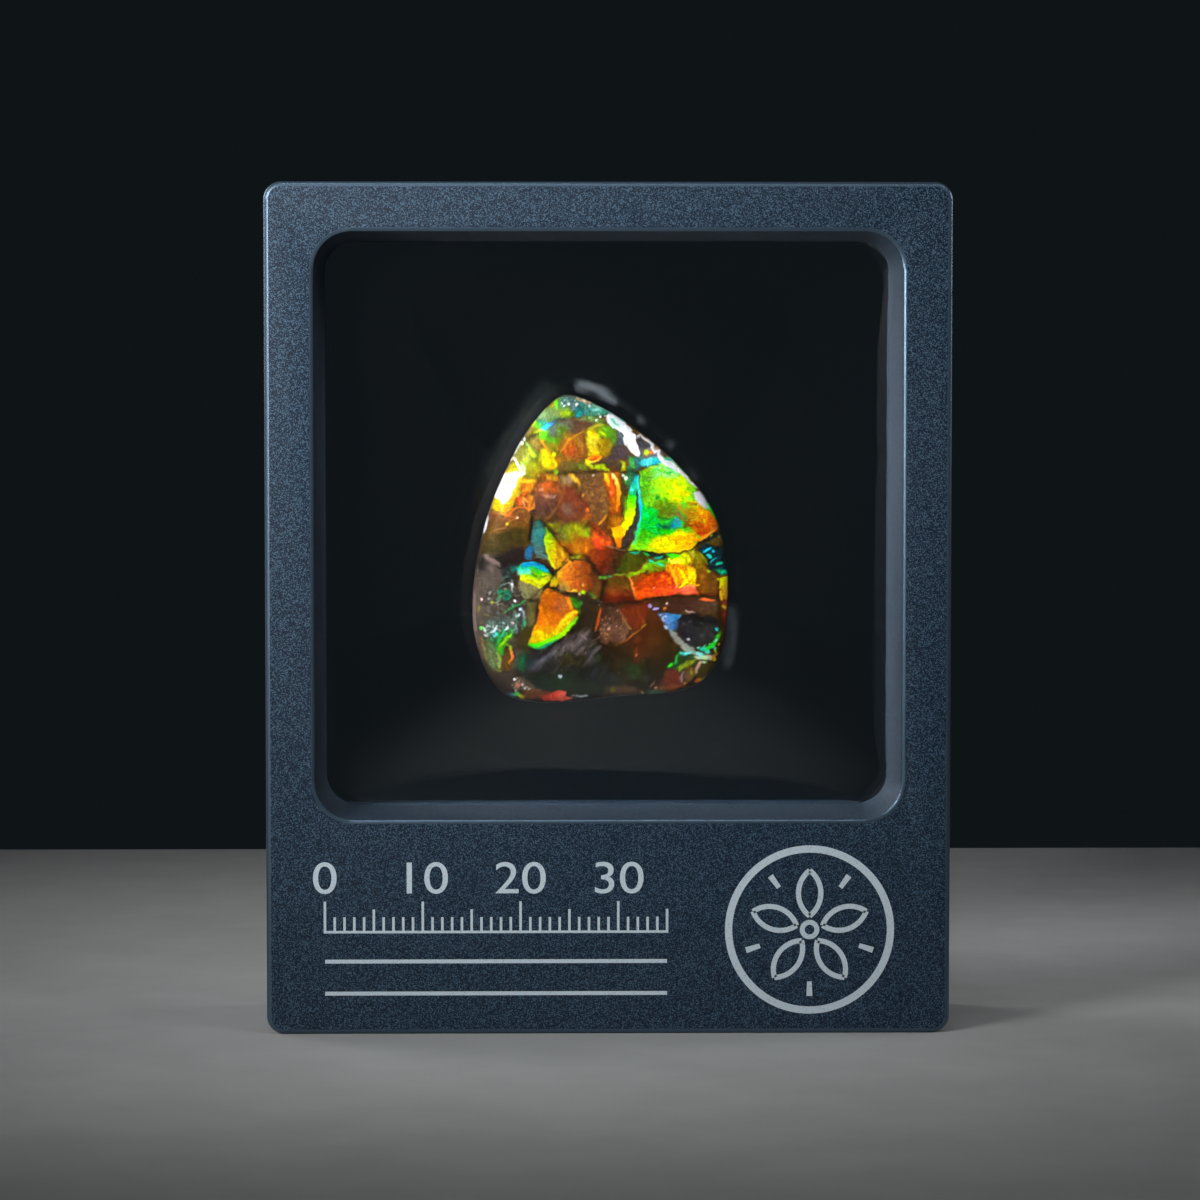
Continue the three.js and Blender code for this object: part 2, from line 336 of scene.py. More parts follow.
def mark_rounded(mesh):
    """Writes how much each facet rounds over an edge of the outer faces, from 0 to 1."""
    count = len(mesh.polygons) * 3
    normals, places = np.empty(count), np.empty(count)
    mesh.polygons.foreach_get("normal", normals)
    mesh.polygons.foreach_get("center", places)
    facing = normals[1::3] ** 2
    tilted = np.clip(EDGE_GAIN * facing * (1 - facing) - EDGE_START, 0, 1)
    tilted[np.abs(places[1::3]) < abs(FRONT_FACE) - EDGE_FILLET] = 0
    mesh.attributes.new("rounded", "FLOAT", "FACE").data.foreach_set("value", tilted.astype(np.float32))


class AMMOLITE_OT_frame(bpy.types.Operator):
    """Gives both halves of the frame and the hinge pin their finish"""
    bl_idname = "ammolite.frame"
    bl_label = "Frame halves"

    def execute(self, context):
        plastic = slate_abs(context.scene.ammolite_frame)
        for node, body in (("frame_front", "front"), ("frame_rear", "rear")):
            half = new_piece(f"{node}_moulding", merged_copy(node), plastic)
            shade(half, EDGE_CREASE)
            mark_rounded(half.data)
            normals = half.modifiers.new("even_normals", "WEIGHTED_NORMAL")
            normals.keep_sharp = True
            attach(half, body)
            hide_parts(node)
        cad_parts["hinge_pin"].material_slots[0].material = drawn_steel()
        return {"FINISHED"}


# ---- label print ----
class LabelLook(bpy.types.PropertyGroup):
    ink: bpy.props.FloatVectorProperty(
        name="Ink", description="Cool grey of the print",
        default=to_linear("#C1D0DA")[:3], size=3, subtype="COLOR")
    thickness: bpy.props.FloatProperty(
        name="Ink layer", description="Thickness of the ink on the plastic",
        default=0.013 * MM, precision=6, unit="LENGTH")
    stroke: bpy.props.FloatProperty(
        name="Stroke", description="Width of the drawn lines", default=0.75 * MM, precision=5, unit="LENGTH")


MOTIF_CENTRE = Vector((20.6, 0, 10.7)) * MM
MOTIF_RADIUS = 8.3 * MM
MOTIF_STEPS = 96
HUB_RADIUS = 0.75 * MM
HUB_STROKE = 0.5 * MM
HUB_STEPS = 32
PETALS = 5
PETAL_MIDDLE = 3.75 * MM
PETAL_HALF_LENGTH = 2.35 * MM
PETAL_HALF_WIDTH = 1.15 * MM
PETAL_STROKE = 0.7  # share of the ring's stroke
PETAL_STEPS = 20
BAR_MIDDLE = 6.1 * MM  # distance of the bars between the petals from the motif's centre
BAR_LENGTH = 1.5 * MM
BAR_SWEEP = 0.09  # radians
BAR_STEPS = 2

SCALE_START = -29 * MM
SCALE_LENGTH = 35  # millimetre steps
SCALE_BASE = 10.4 * MM
TICK_WIDTH = 0.26 * MM
TENS_TICK, FIVES_TICK, ONES_TICK = 3.0 * MM, 2.2 * MM, 1.4 * MM
RULED_LINES = (7.3 * MM, 4.0 * MM)
RULED_WIDTH = 0.4 * MM
DIGIT_HEIGHT = 3.4 * MM
DIGIT_SHARE = 0.73  # height of the font's digits as a share of its size
DIGIT_STRETCH = 1.18
DIGIT_BASE = SCALE_BASE + 4.1 * MM
INK_MERGE = 0.002 * MM


def print_ink(look, plastic):
    """Pad-printed ink: matt and thin, so the grain of the plastic shows through as small pits."""
    material = new_material("pad_print_ink")
    place = add_node(material, "ShaderNodeTexCoord").outputs["Object"]
    grain = add_node(material, "ShaderNodeTexNoise", {
        "Vector": place, "Scale": 1 / plastic.grain, "Detail": 3.0, "Roughness": 0.6})
    pit = add_node(material, "ShaderNodeMapRange", {
        "Value": grain.outputs["Fac"], "From Min": 0.3, "From Max": 0.42, "To Min": 0.55, "To Max": 0.0})
    colour = add_node(material, "ShaderNodeMix", {
        "Factor": pit.outputs["Result"], "A": (*look.ink, 1), "B": (*plastic.plastic, 1)}, data_type="RGBA")
    bump = add_node(material, "ShaderNodeBump", {
        "Height": grain.outputs["Fac"], "Strength": 0.4, "Distance": GRAIN_DEPTH})
    shader = add_node(material, "ShaderNodeBsdfPrincipled", {
        "Base Color": colour.outputs["Result"], "Roughness": 0.6, "Normal": bump.outputs["Normal"]})
    return finish_material(material, shader)


def heading_of(angle):
    """Unit vector at an angle in the plane of the label."""
    return Vector((math.cos(angle), 0, math.sin(angle)))


def ink_arc(bm, centre, radius, width, start, sweep, steps):
    """Spins an edge as wide as the stroke about the centre into an arc."""
    spoke = heading_of(start)
    inner, outer = (bm.verts.new(centre + spoke * (radius + side * width / 2)) for side in (-1, 1))
    edge = bm.edges.new((inner, outer))
    whole = abs(sweep) > math.tau - 0.001
    bmesh.ops.spin(bm, geom=[inner, outer, edge], cent=centre, axis=(0, -1, 0), angle=sweep,
                   steps=steps, use_merge=whole)


def ink_bar(bm, left, low, width, height):
    """A rectangle of ink."""
    turned = Matrix.Rotation(math.pi / 2, 4, "X")
    made = bmesh.ops.create_grid(bm, x_segments=1, y_segments=1, size=0.5, matrix=turned)["verts"]
    bmesh.ops.scale(bm, verts=made, vec=(width, 1, height))
    bmesh.ops.translate(bm, verts=made, vec=(left + width / 2, 0, low + height / 2))


def draw_sand_dollar(bm, stroke):
    """A ring, five petals of two arcs each, and short bars between them."""
    ink_arc(bm, MOTIF_CENTRE, MOTIF_RADIUS, stroke, 0, math.tau, MOTIF_STEPS)
    ink_arc(bm, MOTIF_CENTRE, HUB_RADIUS, HUB_STROKE, 0, math.tau, HUB_STEPS)
    arc_radius = (PETAL_HALF_LENGTH ** 2 + PETAL_HALF_WIDTH ** 2) / (2 * PETAL_HALF_WIDTH)
    half_sweep = math.asin(PETAL_HALF_LENGTH / arc_radius)
    for petal in range(PETALS):
        along = math.pi / 2 + math.tau * petal / PETALS
        middle = MOTIF_CENTRE + heading_of(along) * PETAL_MIDDLE
        for side in (-1, 1):
            across = along + side * math.pi / 2
            centre = middle - heading_of(across) * (arc_radius - PETAL_HALF_WIDTH)
            ink_arc(bm, centre, arc_radius, stroke * PETAL_STROKE, across - half_sweep, 2 * half_sweep,
                    PETAL_STEPS)
        between = along + math.pi / PETALS
        ink_arc(bm, MOTIF_CENTRE, BAR_MIDDLE, BAR_LENGTH, between - BAR_SWEEP / 2, BAR_SWEEP, BAR_STEPS)


def draw_scale(bm):
    """A millimetre scale with longer ticks at fives and tens, above two ruled lines."""
    length = SCALE_LENGTH * MM
    ink_bar(bm, SCALE_START - TICK_WIDTH / 2, SCALE_BASE, length + TICK_WIDTH, TICK_WIDTH)
    for step in range(SCALE_LENGTH + 1):
        height = TENS_TICK if step % 10 == 0 else FIVES_TICK if step % 5 == 0 else ONES_TICK
        ink_bar(bm, SCALE_START + step * MM - TICK_WIDTH / 2, SCALE_BASE + TICK_WIDTH, TICK_WIDTH, height)
    for line in RULED_LINES:
        ink_bar(bm, SCALE_START, line, length, RULED_WIDTH)


def digits(text, middle, low):
    """A mesh of flat digits that stand in the plane of the label."""
    curve = bpy.data.curves.new("digits", "FONT")
    curve.body = text
    curve.size = DIGIT_HEIGHT / DIGIT_SHARE
    curve.align_x = "CENTER"
    holder = bpy.data.objects.new("digits", curve)
    bpy.context.scene.collection.objects.link(holder)
    graph = bpy.context.evaluated_depsgraph_get()
    mesh = bpy.data.meshes.new_from_object(holder.evaluated_get(graph))
    bpy.data.objects.remove(holder)
    mesh.transform(Matrix.Translation((middle, 0, low)) @ Matrix.Rotation(math.pi / 2, 4, "X")
                   @ Matrix.Diagonal((DIGIT_STRETCH, 1, 1, 1)))
    return mesh


class AMMOLITE_OT_label(bpy.types.Operator):
    """Prints a plain scale and a sand-dollar motif on the label strip"""
    bl_idname = "ammolite.label"
    bl_label = "Label print"

    def execute(self, context):
        look = context.scene.ammolite_label
        bm = bmesh.new()
        draw_sand_dollar(bm, look.stroke)
        draw_scale(bm)
        for step in range(0, SCALE_LENGTH, 10):
            bm.from_mesh(digits(str(step), SCALE_START + step * MM, DIGIT_BASE))
        bmesh.ops.remove_doubles(bm, verts=bm.verts, dist=INK_MERGE)
        top = bmesh.ops.extrude_face_region(bm, geom=bm.faces)["geom"]
        risen = [item for item in top if isinstance(item, bmesh.types.BMVert)]
        bmesh.ops.translate(bm, verts=risen, vec=(0, -look.thickness, 0))
        bmesh.ops.translate(bm, verts=bm.verts, vec=(0, FRONT_FACE, 0))
        bmesh.ops.recalc_face_normals(bm, faces=bm.faces)
        ink = new_piece("label_print", bm, print_ink(look, context.scene.ammolite_frame))
        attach(ink, "front")
        return {"FINISHED"}


# ---- films ----
class FilmLook(bpy.types.PropertyGroup):
    # Strength of the pale scatter that paints reflections of the lamps onto the film.
    haze: bpy.props.FloatProperty(
        name="Haze", description="How strongly the strained parts of the film scatter light",
        default=0.06, min=0, max=1, subtype="FACTOR")
    relaxed: bpy.props.FloatProperty(
        name="Relaxed bulge", description="Share of the front film's bulge that stays when the frame opens",
        default=0.08, min=0.01, max=1, subtype="FACTOR")


REFLECTION_SPOTS = 0.9  # width in mm of the uneven spots of a painted reflection
MARK_FADE = 1.3  # keeps a mark full near its path and fades it out at 0.65 of its width
FILM_SMOOTHING = 2


def elastic_film(look):
    """Cast polyurethane film: clear and glossy, with painted reflections laid on as a pale scatter."""
    material = new_material("cast_polyurethane_film")
    clear = add_node(material, "ShaderNodeBsdfPrincipled", {
        "Base Color": to_linear("#FDFEFE"), "Roughness": 0.03, "IOR": 1.5, "Transmission Weight": 1.0,
        "Specular IOR Level": 0.04})
    strain = add_node(material, "ShaderNodeAttribute", attribute_name="strain")
    place = add_node(material, "ShaderNodeTexCoord").outputs["Object"]
    unevenness = add_node(material, "ShaderNodeTexNoise", {
        "Vector": place, "Scale": per_metre(REFLECTION_SPOTS), "Detail": 5.0})
    amount = add_node(material, "ShaderNodeMath", {0: strain.outputs["Fac"], 1: unevenness.outputs["Fac"]},
                      operation="MULTIPLY")
    reflection_cover = add_node(material, "ShaderNodeMath", {0: amount.outputs["Value"], 1: look.haze * 2},
                    operation="MULTIPLY", use_clamp=True)
    # Pale scatter that paints the reflections of the lamps onto the film.
    scatter = add_node(material, "ShaderNodeBsdfDiffuse", {"Color": to_linear("#C4D2DC")})
    body = add_node(material, "ShaderNodeMixShader", {
        0: reflection_cover.outputs["Value"], 1: clear.outputs[0], 2: scatter.outputs[0]})
    lamp = add_node(material, "ShaderNodeLightPath").outputs["Is Shadow Ray"]
    through = add_node(material, "ShaderNodeBsdfTransparent", {"Color": (0.97, 0.97, 0.97, 1)})
    shader = add_node(material, "ShaderNodeMixShader", {0: lamp, 1: body.outputs[0], 2: through.outputs[0]})
    return finish_material(material, shader)


# Painted reflections of the lamps on the film, laid on as a pale scatter: a path in X and Z,
# the width of the mark in mm and how strong it is.
PAINTED_FILM_REFLECTIONS = (
    ("-11.6,58.2 -9.2,62 -6.4,65.8", 2.2, 0.05),
    ("12.5,37.6 12.9,39.4 13.1,41.2 12.9,43", 1.0, 0.30),
    ("-2.9,66.3 -1.3,66.1 0.6,64.9", 0.8, 0.75),
    ("2,64 6.5,60.3 10.2,55.6", 0.2, 0.25),
)


def mark_strain(mesh):
    """Writes how strong the painted reflection is at each vertex, from its marks."""
    points = plan_of(mesh)
    strain = np.zeros(len(points))
    for path, width, strength in PAINTED_FILM_REFLECTIONS:
        gap = path_distance(points, places_of(path))[0]
        near = np.clip(MARK_FADE - 2 * gap / width, 0, 1)
        strain = np.maximum(strain, strength * near)
    layer = mesh.attributes.new("strain", "FLOAT", "POINT")
    layer.data.foreach_set("value", strain.astype(np.float32))


class AMMOLITE_OT_films(bpy.types.Operator):
    """Replaces both films with smooth ones that stretch over the stone"""
    bl_idname = "ammolite.films"
    bl_label = "Films"

    def execute(self, context):
        look = context.scene.ammolite_films
        material = elastic_film(look)
        for node, body in (("membrane_front", "front"), ("membrane_rear", "rear")):
            bm = merged_copy(node)
            bmesh.ops.join_triangles(bm, faces=bm.faces, angle_face_threshold=math.pi,
                                     angle_shape_threshold=math.pi)
            film = new_piece(f"{node}_film", bm, material)
            smooth = film.modifiers.new("smooth", "SUBSURF")
            smooth.levels = FILM_SMOOTHING
            smooth.render_levels = FILM_SMOOTHING
            apply_modifiers(film)
            film.data.shade_smooth()
            mark_strain(film.data)
            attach(film, body)
            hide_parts(node)
            if body == "front":
                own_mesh(film)
        return {"FINISHED"}


# ---- stone: painting tools ----
def plan_of(mesh):
    """X and Z of each vertex, in millimetres."""
    places = np.empty(len(mesh.vertices) * 3)
    mesh.vertices.foreach_get("co", places)
    return places.reshape(-1, 3)[:, [0, 2]] / MM


def places_of(text):
    """Reads places written as "x,z x,z x,z"."""
    return np.array([[float(number) for number in pair.split(",")] for pair in text.split()])


def path_distance(points, path):
    """Distance from an open path, and how far along it the nearest place is, from 0 to 1."""
    lengths = np.linalg.norm(np.diff(path, axis=0), axis=1)
    nearest = np.full(len(points), np.inf)
    share = np.zeros(len(points))
    done = 0.0
    for start, end, length in zip(path[:-1], path[1:], lengths):
        along = (end - start) / length
        step = np.clip((points - start) @ along, 0, length)
        gap = np.linalg.norm(points - start - step[:, None] * along, axis=1)
        closer = gap < nearest
        nearest[closer] = gap[closer]
        share[closer] = (done + step[closer]) / lengths.sum()
        done += length
    return nearest, share


def depth_inside(points, corners):
    """Signed distance from a closed outline, above zero inside."""
    nearest = path_distance(points, np.vstack((corners, corners[:1])))[0]
    inside = np.zeros(len(points), bool)
    for start, end in zip(corners, np.roll(corners, -1, axis=0)):
        spans = (start[1] > points[:, 1]) != (end[1] > points[:, 1])
        rise = (end[1] - start[1]) or 1e-9
        crossing = start[0] + (points[:, 1] - start[1]) * (end[0] - start[0]) / rise
        inside ^= spans & (points[:, 0] < crossing)
    return np.where(inside, nearest, -nearest)


def along_colours(codes, share):
    """Colour at each share of a run of evenly spaced sRGB colours, written as "RRGGBB RRGGBB"."""
    stops = np.array([[int(code[i:i + 2], 16) / 255 for i in (0, 2, 4)] for code in codes.split()])
    at = np.clip(share, 0, 1) * (len(stops) - 1)
    low = np.minimum(at.astype(int), len(stops) - 1)
    high = np.minimum(low + 1, len(stops) - 1)
    part = (at - low)[:, None]
    return stops[low] * (1 - part) + stops[high] * part


class Nacre:
    """Colours of the polished face, built up plate by plate at each vertex. Sizes are in millimetres."""

    SEED = 4  # without it the wavering would differ from run to run
    WANDER = ((1.1, 0.10), (0.45, 0.11), (0.17, 0.05))  # width and reach of the wavering of every edge
    DRIFT = ((1.4, 1.3), (0.5, 0.6))  # the same for soft edges, as shares of their softness
    DRIFT_PLACE = 40  # takes the second noise from elsewhere than the first
    GRAIN = 0.35  # width of the raggedness of streaks and cracks

    FOLDS = (0.34, 1.2)  # width and length of the folds of a plate
    FOLD_LINE = 0.14  # how near a fold's middle the shade lies
    FOLD_SHADE = 0.10
    FOLD_LIGHT = 0.08
    FEATHER = 0.12  # how far the folds carry the colours of a plate into each other
    CRISP = (0.11, 0.35)  # softness of the plates that darken towards their rim
    RIM_SHADE = 0.24
    RIM_REACH = 0.4

    STREAK_TAPER = 0.75  # how much thinner a streak is at its ends
    STREAK_RAGGED = 0.3

    CRACK_REACH = 0.6  # how far from a crack the face is looked at
    CRACK_WIDTH = (0.35, 0.6)  # share of the width that is dark everywhere, and what the grain adds
    CRACK_SOFT = 0.14
    CRACK_COVER = 0.9
    CRACK_SHADE = 0.25
    CRACK_SHADE_REACH = 0.3
    CRACK_DEPTH = 0.030

    CRUMPLE_SOFT = 0.5
    CRUMPLE_LINE = 0.16
    CRUMPLE_HEIGHT = 0.005

    SPECK_SIZES = (0.4, 1.2)  # smallest and largest share of the size that is asked for
    SPECK_STRETCH = (0.7, 1.6)
    SPECK_SOFT = 0.12

    GLOW = 0.10
    GLOW_WIDTH = 3.2
    # Places in X and how bright the face is painted there: painted shade on the left and painted light
    # on the right, which even out the key light from the upper left.
    ACROSS = ((-13, -9, -4, 0, 4, 8, 12), (0.76, 0.87, 0.99, 1.06, 1.10, 1.24, 1.55))

    def __init__(self, points):
        noise.seed_set(self.SEED)
        self.points = points + sum(wander(points, width) * shift for width, shift in self.WANDER)
        self.drift = sum(wander(points + self.DRIFT_PLACE, width) * share for width, share in self.DRIFT)
        self.grain = ripple(points, self.GRAIN)
        self.layers = 0
        self.colour = np.zeros((len(points), 3))
        self.height = np.zeros(len(points))

    def near(self, corners, reach):
        """The points that lie within reach of the box around some corners."""
        low, high = corners.min(axis=0) - reach, corners.max(axis=0) + reach
        return np.flatnonzero(((self.points > low) & (self.points < high)).all(axis=1))

    def lay(self, held, colours, cover):
        """Mixes colours over what is already there."""
        cover = cover[:, None]
        self.colour[held] = self.colour[held] * (1 - cover) + colours * cover

    def folds(self, held, width, length, heading):
        """Smooth noise that runs along folds of this width and length, different for each layer."""
        self.layers += 1
        across = np.array((math.cos(heading), math.sin(heading)))
        u, v = self.points[held] @ across, self.points[held] @ (-across[1], across[0])
        return np.array([fractal((a / width, b / length, self.layers)) for a, b in zip(u, v)])

    def plate(self, outline, codes, heading=0, soft=0.14):
        """Fills an outline. The colours run evenly across it in the direction of the heading, in degrees."""
        corners = places_of(outline)
        held = self.near(corners, 2 * soft)
        drifted = self.points[held] + self.drift[held] * soft * 0.5
        depth = depth_inside(drifted, corners)
        cover = smooth_step(depth / soft + 0.5)
        turn = math.radians(heading)
        direction = np.array((math.cos(turn), math.sin(turn)))
        low, high = (corners @ direction).min(), (corners @ direction).max()
        folds = self.folds(held, *self.FOLDS, turn)
        across = (self.points[held] @ direction - low) / (high - low) + self.FEATHER * folds
        light = 1 - self.FOLD_SHADE * np.exp(-(folds / self.FOLD_LINE) ** 2) + self.FOLD_LIGHT * folds
        if self.CRISP[0] < soft < self.CRISP[1]:
            light *= 1 - self.RIM_SHADE * np.exp(-np.maximum(depth, 0) / self.RIM_REACH)
        self.lay(held, along_colours(codes, across) * light[:, None], cover)

    def streak(self, path, codes, width, soft=0.22):
        """Draws a band along a path, thinner at both ends. The colours run along it."""
        corners = places_of(path)
        held = self.near(corners, width + soft)
        gap, run = path_distance(self.points[held], corners)
        taper = 1 - self.STREAK_TAPER + self.STREAK_TAPER * np.sqrt(1 - (2 * run - 1) ** 2)
        half = width / 2 * taper * (1 + self.STREAK_RAGGED * self.grain[held])
        self.lay(held, along_colours(codes, run), smooth_step((half - gap) / soft + 0.5))

    def dots(self, places, code, radius, soft=0.18):
        """Round spots of one colour."""
        for place in places_of(places):
            held = self.near(place[None], radius + soft)
            gap = np.linalg.norm(self.points[held] - place, axis=1)
            self.lay(held, along_colours(code, gap), smooth_step((radius - gap) / soft + 0.5))

    def crack(self, path, width, code="1A1009"):
        """A dark groove between two plates, with the plates a little darker beside it."""
        corners = places_of(path)
        held = self.near(corners, self.CRACK_REACH)
        gap, run = path_distance(self.points[held], corners)
        ragged = width * (self.CRACK_WIDTH[0] + self.CRACK_WIDTH[1] * self.grain[held])
        self.colour[held] *= (1 - self.CRACK_SHADE * np.exp(-(gap / self.CRACK_SHADE_REACH) ** 2))[:, None]
        cover = smooth_step((ragged / 2 - gap) / self.CRACK_SOFT + 0.5) * self.CRACK_COVER
        self.lay(held, along_colours(code, run), cover)
        self.height[held] -= self.CRACK_DEPTH * np.exp(-(gap / (width * 0.8)) ** 2)

    def crumple(self, outline, width, length, depth, turn, heading=90):
        """Presses fine wrinkles into the foil, paints shade in their folds and turns the hue beside them."""
        corners = places_of(outline)
        held = self.near(corners, self.CRUMPLE_SOFT)
        cover = smooth_step(depth_inside(self.points[held], corners) / self.CRUMPLE_SOFT + 0.5)
        folds = self.folds(held, width, length, math.radians(heading))
        colours = turn_hue(self.colour[held], turn * folds)
        # Painted shade along the folds, and painted light where the wrinkles rise.
        colours *= (1 - depth * np.exp(-(folds / self.CRUMPLE_LINE) ** 2) + 0.5 * depth * folds)[:, None]
        self.lay(held, colours, cover)
        self.height[held] += self.CRUMPLE_HEIGHT * cover * folds

    def glow(self):
        """Varies areas at random, and paints shade on the left side and light on the right."""
        across = np.interp(self.points[:, 0], *self.ACROSS)
        areas = 1 + self.GLOW * ripple(self.points, self.GLOW_WIDTH)
        self.colour *= (across * areas)[:, None]

    def specks(self, outline, count, codes, size, seed):
        """Scatters small flecks inside an outline."""
        draw = np.random.default_rng(seed)
        corners = places_of(outline)
        codes = codes.split()
        for number in range(count):
            place = draw.uniform(corners.min(axis=0), corners.max(axis=0))
            radius = size * draw.uniform(*self.SPECK_SIZES)
            if depth_inside(place[None], corners)[0] < 0:
                continue
            held = self.near(place[None], 2 * size)
            stretch = (1, draw.uniform(*self.SPECK_STRETCH))
            gap = np.linalg.norm((self.points[held] - place) * stretch, axis=1)
            cover = smooth_step((radius - gap) / self.SPECK_SOFT + 0.5)
            self.lay(held, along_colours(codes[number % len(codes)], gap), cover)


def smooth_step(cover):
    """Eases a cover in and out between 0 and 1."""
    cover = np.clip(cover, 0, 1)
    return cover * cover * (3 - 2 * cover)


def turn_hue(colours, angles):
    """Turns colours about the grey axis, by an angle for each in radians."""
    grey = colours.mean(axis=1, keepdims=True)
    aside = (np.roll(colours, 1, axis=1) - np.roll(colours, -1, axis=1)) / math.sqrt(3)
    cosine, sine = np.cos(angles)[:, None], np.sin(angles)[:, None]
    return grey + (colours - grey) * cosine + aside * sine


def wander(points, width):
    """A smooth random shift of each point, with features this many millimetres wide."""
    return np.array([noise.noise_vector((x / width, 3.7, z / width)).xz for x, z in points])


def fractal(place):
    """Smooth noise from about -1 to 1 at one place, in three sizes that are each half the last."""
    return noise.fractal(place, 0.6, 2.0, 3)


def ripple(points, width):
    """Smooth noise at each point, with features this many millimetres wide."""
    return np.array([fractal((x / width, 8.1, z / width)) for x, z in points])


# ---- stone: what is where on the polished face ----
# Each plate is an outline in X and Z (mm), the colours across it, the heading of that run in degrees and
# the softness of its edge in mm.
GROUND = (
    ("-15,33 14,33 14,67 -15,67", "241D18 2E2218 3E2A18 5A3A1C 6E4A1E 5A5A30", 90, 0.4),
    ("-15,49.2 -12.2,48.9 -10.9,47.4 -10.2,46 -9,45.6 -8.2,43.5 -7.8,41 -8.4,39.4 -9.6,36.6 -12.8,35.5"
     " -15,45", "6E5E52 685A50 5A4C42", 0, 0.6),
    ("-13,38.6 -11.6,36.9 -9.8,36.8 -9.6,35.4 -8.6,34.4 -11,34 -13,36.6", "5A4A40 463A30 3A2E28", -60, 0.6),
)

TIP = (
    ("-8.2,62.2 -6.3,64.2 -5.4,65.6 -4,65.9 -1.8,65.3 -0.6,63.6 -3.2,63.2 -5,62.7 -7,62.2",
     "5C8A10 4A8A50 4E7E70 3A7A68", 0, 0.26),
    ("-6.3,64 -5.9,64.7 -5.3,65.1 -5,65.15 -5.2,64.4 -5.6,64", "B07A10 D8E810", 30, 0.34),
    ("-4.8,65.1 -3.2,65.1 -2.6,64.6 -2,63.9 -3.1,63.4 -3.6,63.8 -4.3,64.2", "48706A 5A7A78 3E7A6C", 0, 0.4),
    ("-7,63.6 -6.2,64 -5,64.2 -4,64 -3.4,63.5 -4.5,63 -6,62.8 -7.2,62.9",
     "8A9A6A 6A8A50 7A8A30 A8C828", 0, 0.6),
    ("-4.9,63.9 -4.2,64 -3.4,63.5 -4,63.2 -4.9,63.3", "98B018 B0E010 A0F800", 0, 0.4),
    ("-3.4,63.2 -3.3,64 -2.9,64 -2.7,63.4 -3,63 -3.5,63.1", "1AA8A0 20C0C8", 0, 0.34),
    ("-3,64.5 -2,64.2 -1.4,64.3 0.4,63.6 1.9,62.5 1.4,62.4 0.2,63.3 -1,63.2 -2.4,63.2",
     "3A9A88 58B8A0 3CB890 18D0B0", -20, 0.34),
    ("-7.5,62.9 -6.9,62.9 -6,62.5 -6.6,62.2 -7.2,62.3", "28B0A0 40A890", 0, 0.34),
    ("-5.6,62.5 -3,63 -1,63 -0.4,62.2 -2,61.9 -3.5,61.3 -6,61.3 -6.4,62",
     "4E4A40 5A4A38 6A4430 5E4A38", 0, 0.6),
    ("-6.4,62 -5.6,62.3 -4.9,62.5 -3.9,62.6 -3.8,62 -5,61.4 -6,61.3", "4A5E60 6A6058", 0, 0.8),
    ("-3.4,62.9 -1.6,63.3 -0.4,62.9 -0.3,62.4 -1.4,62.6 -3,62.7", "6A8A48 88A850 60A030", 0, 0.6),
    ("-8.1,62.1 -7.4,62.8 -7,62.3 -7.2,61.7 -7.6,61.9", "B0E008 38C838", 0, 0.4),
)

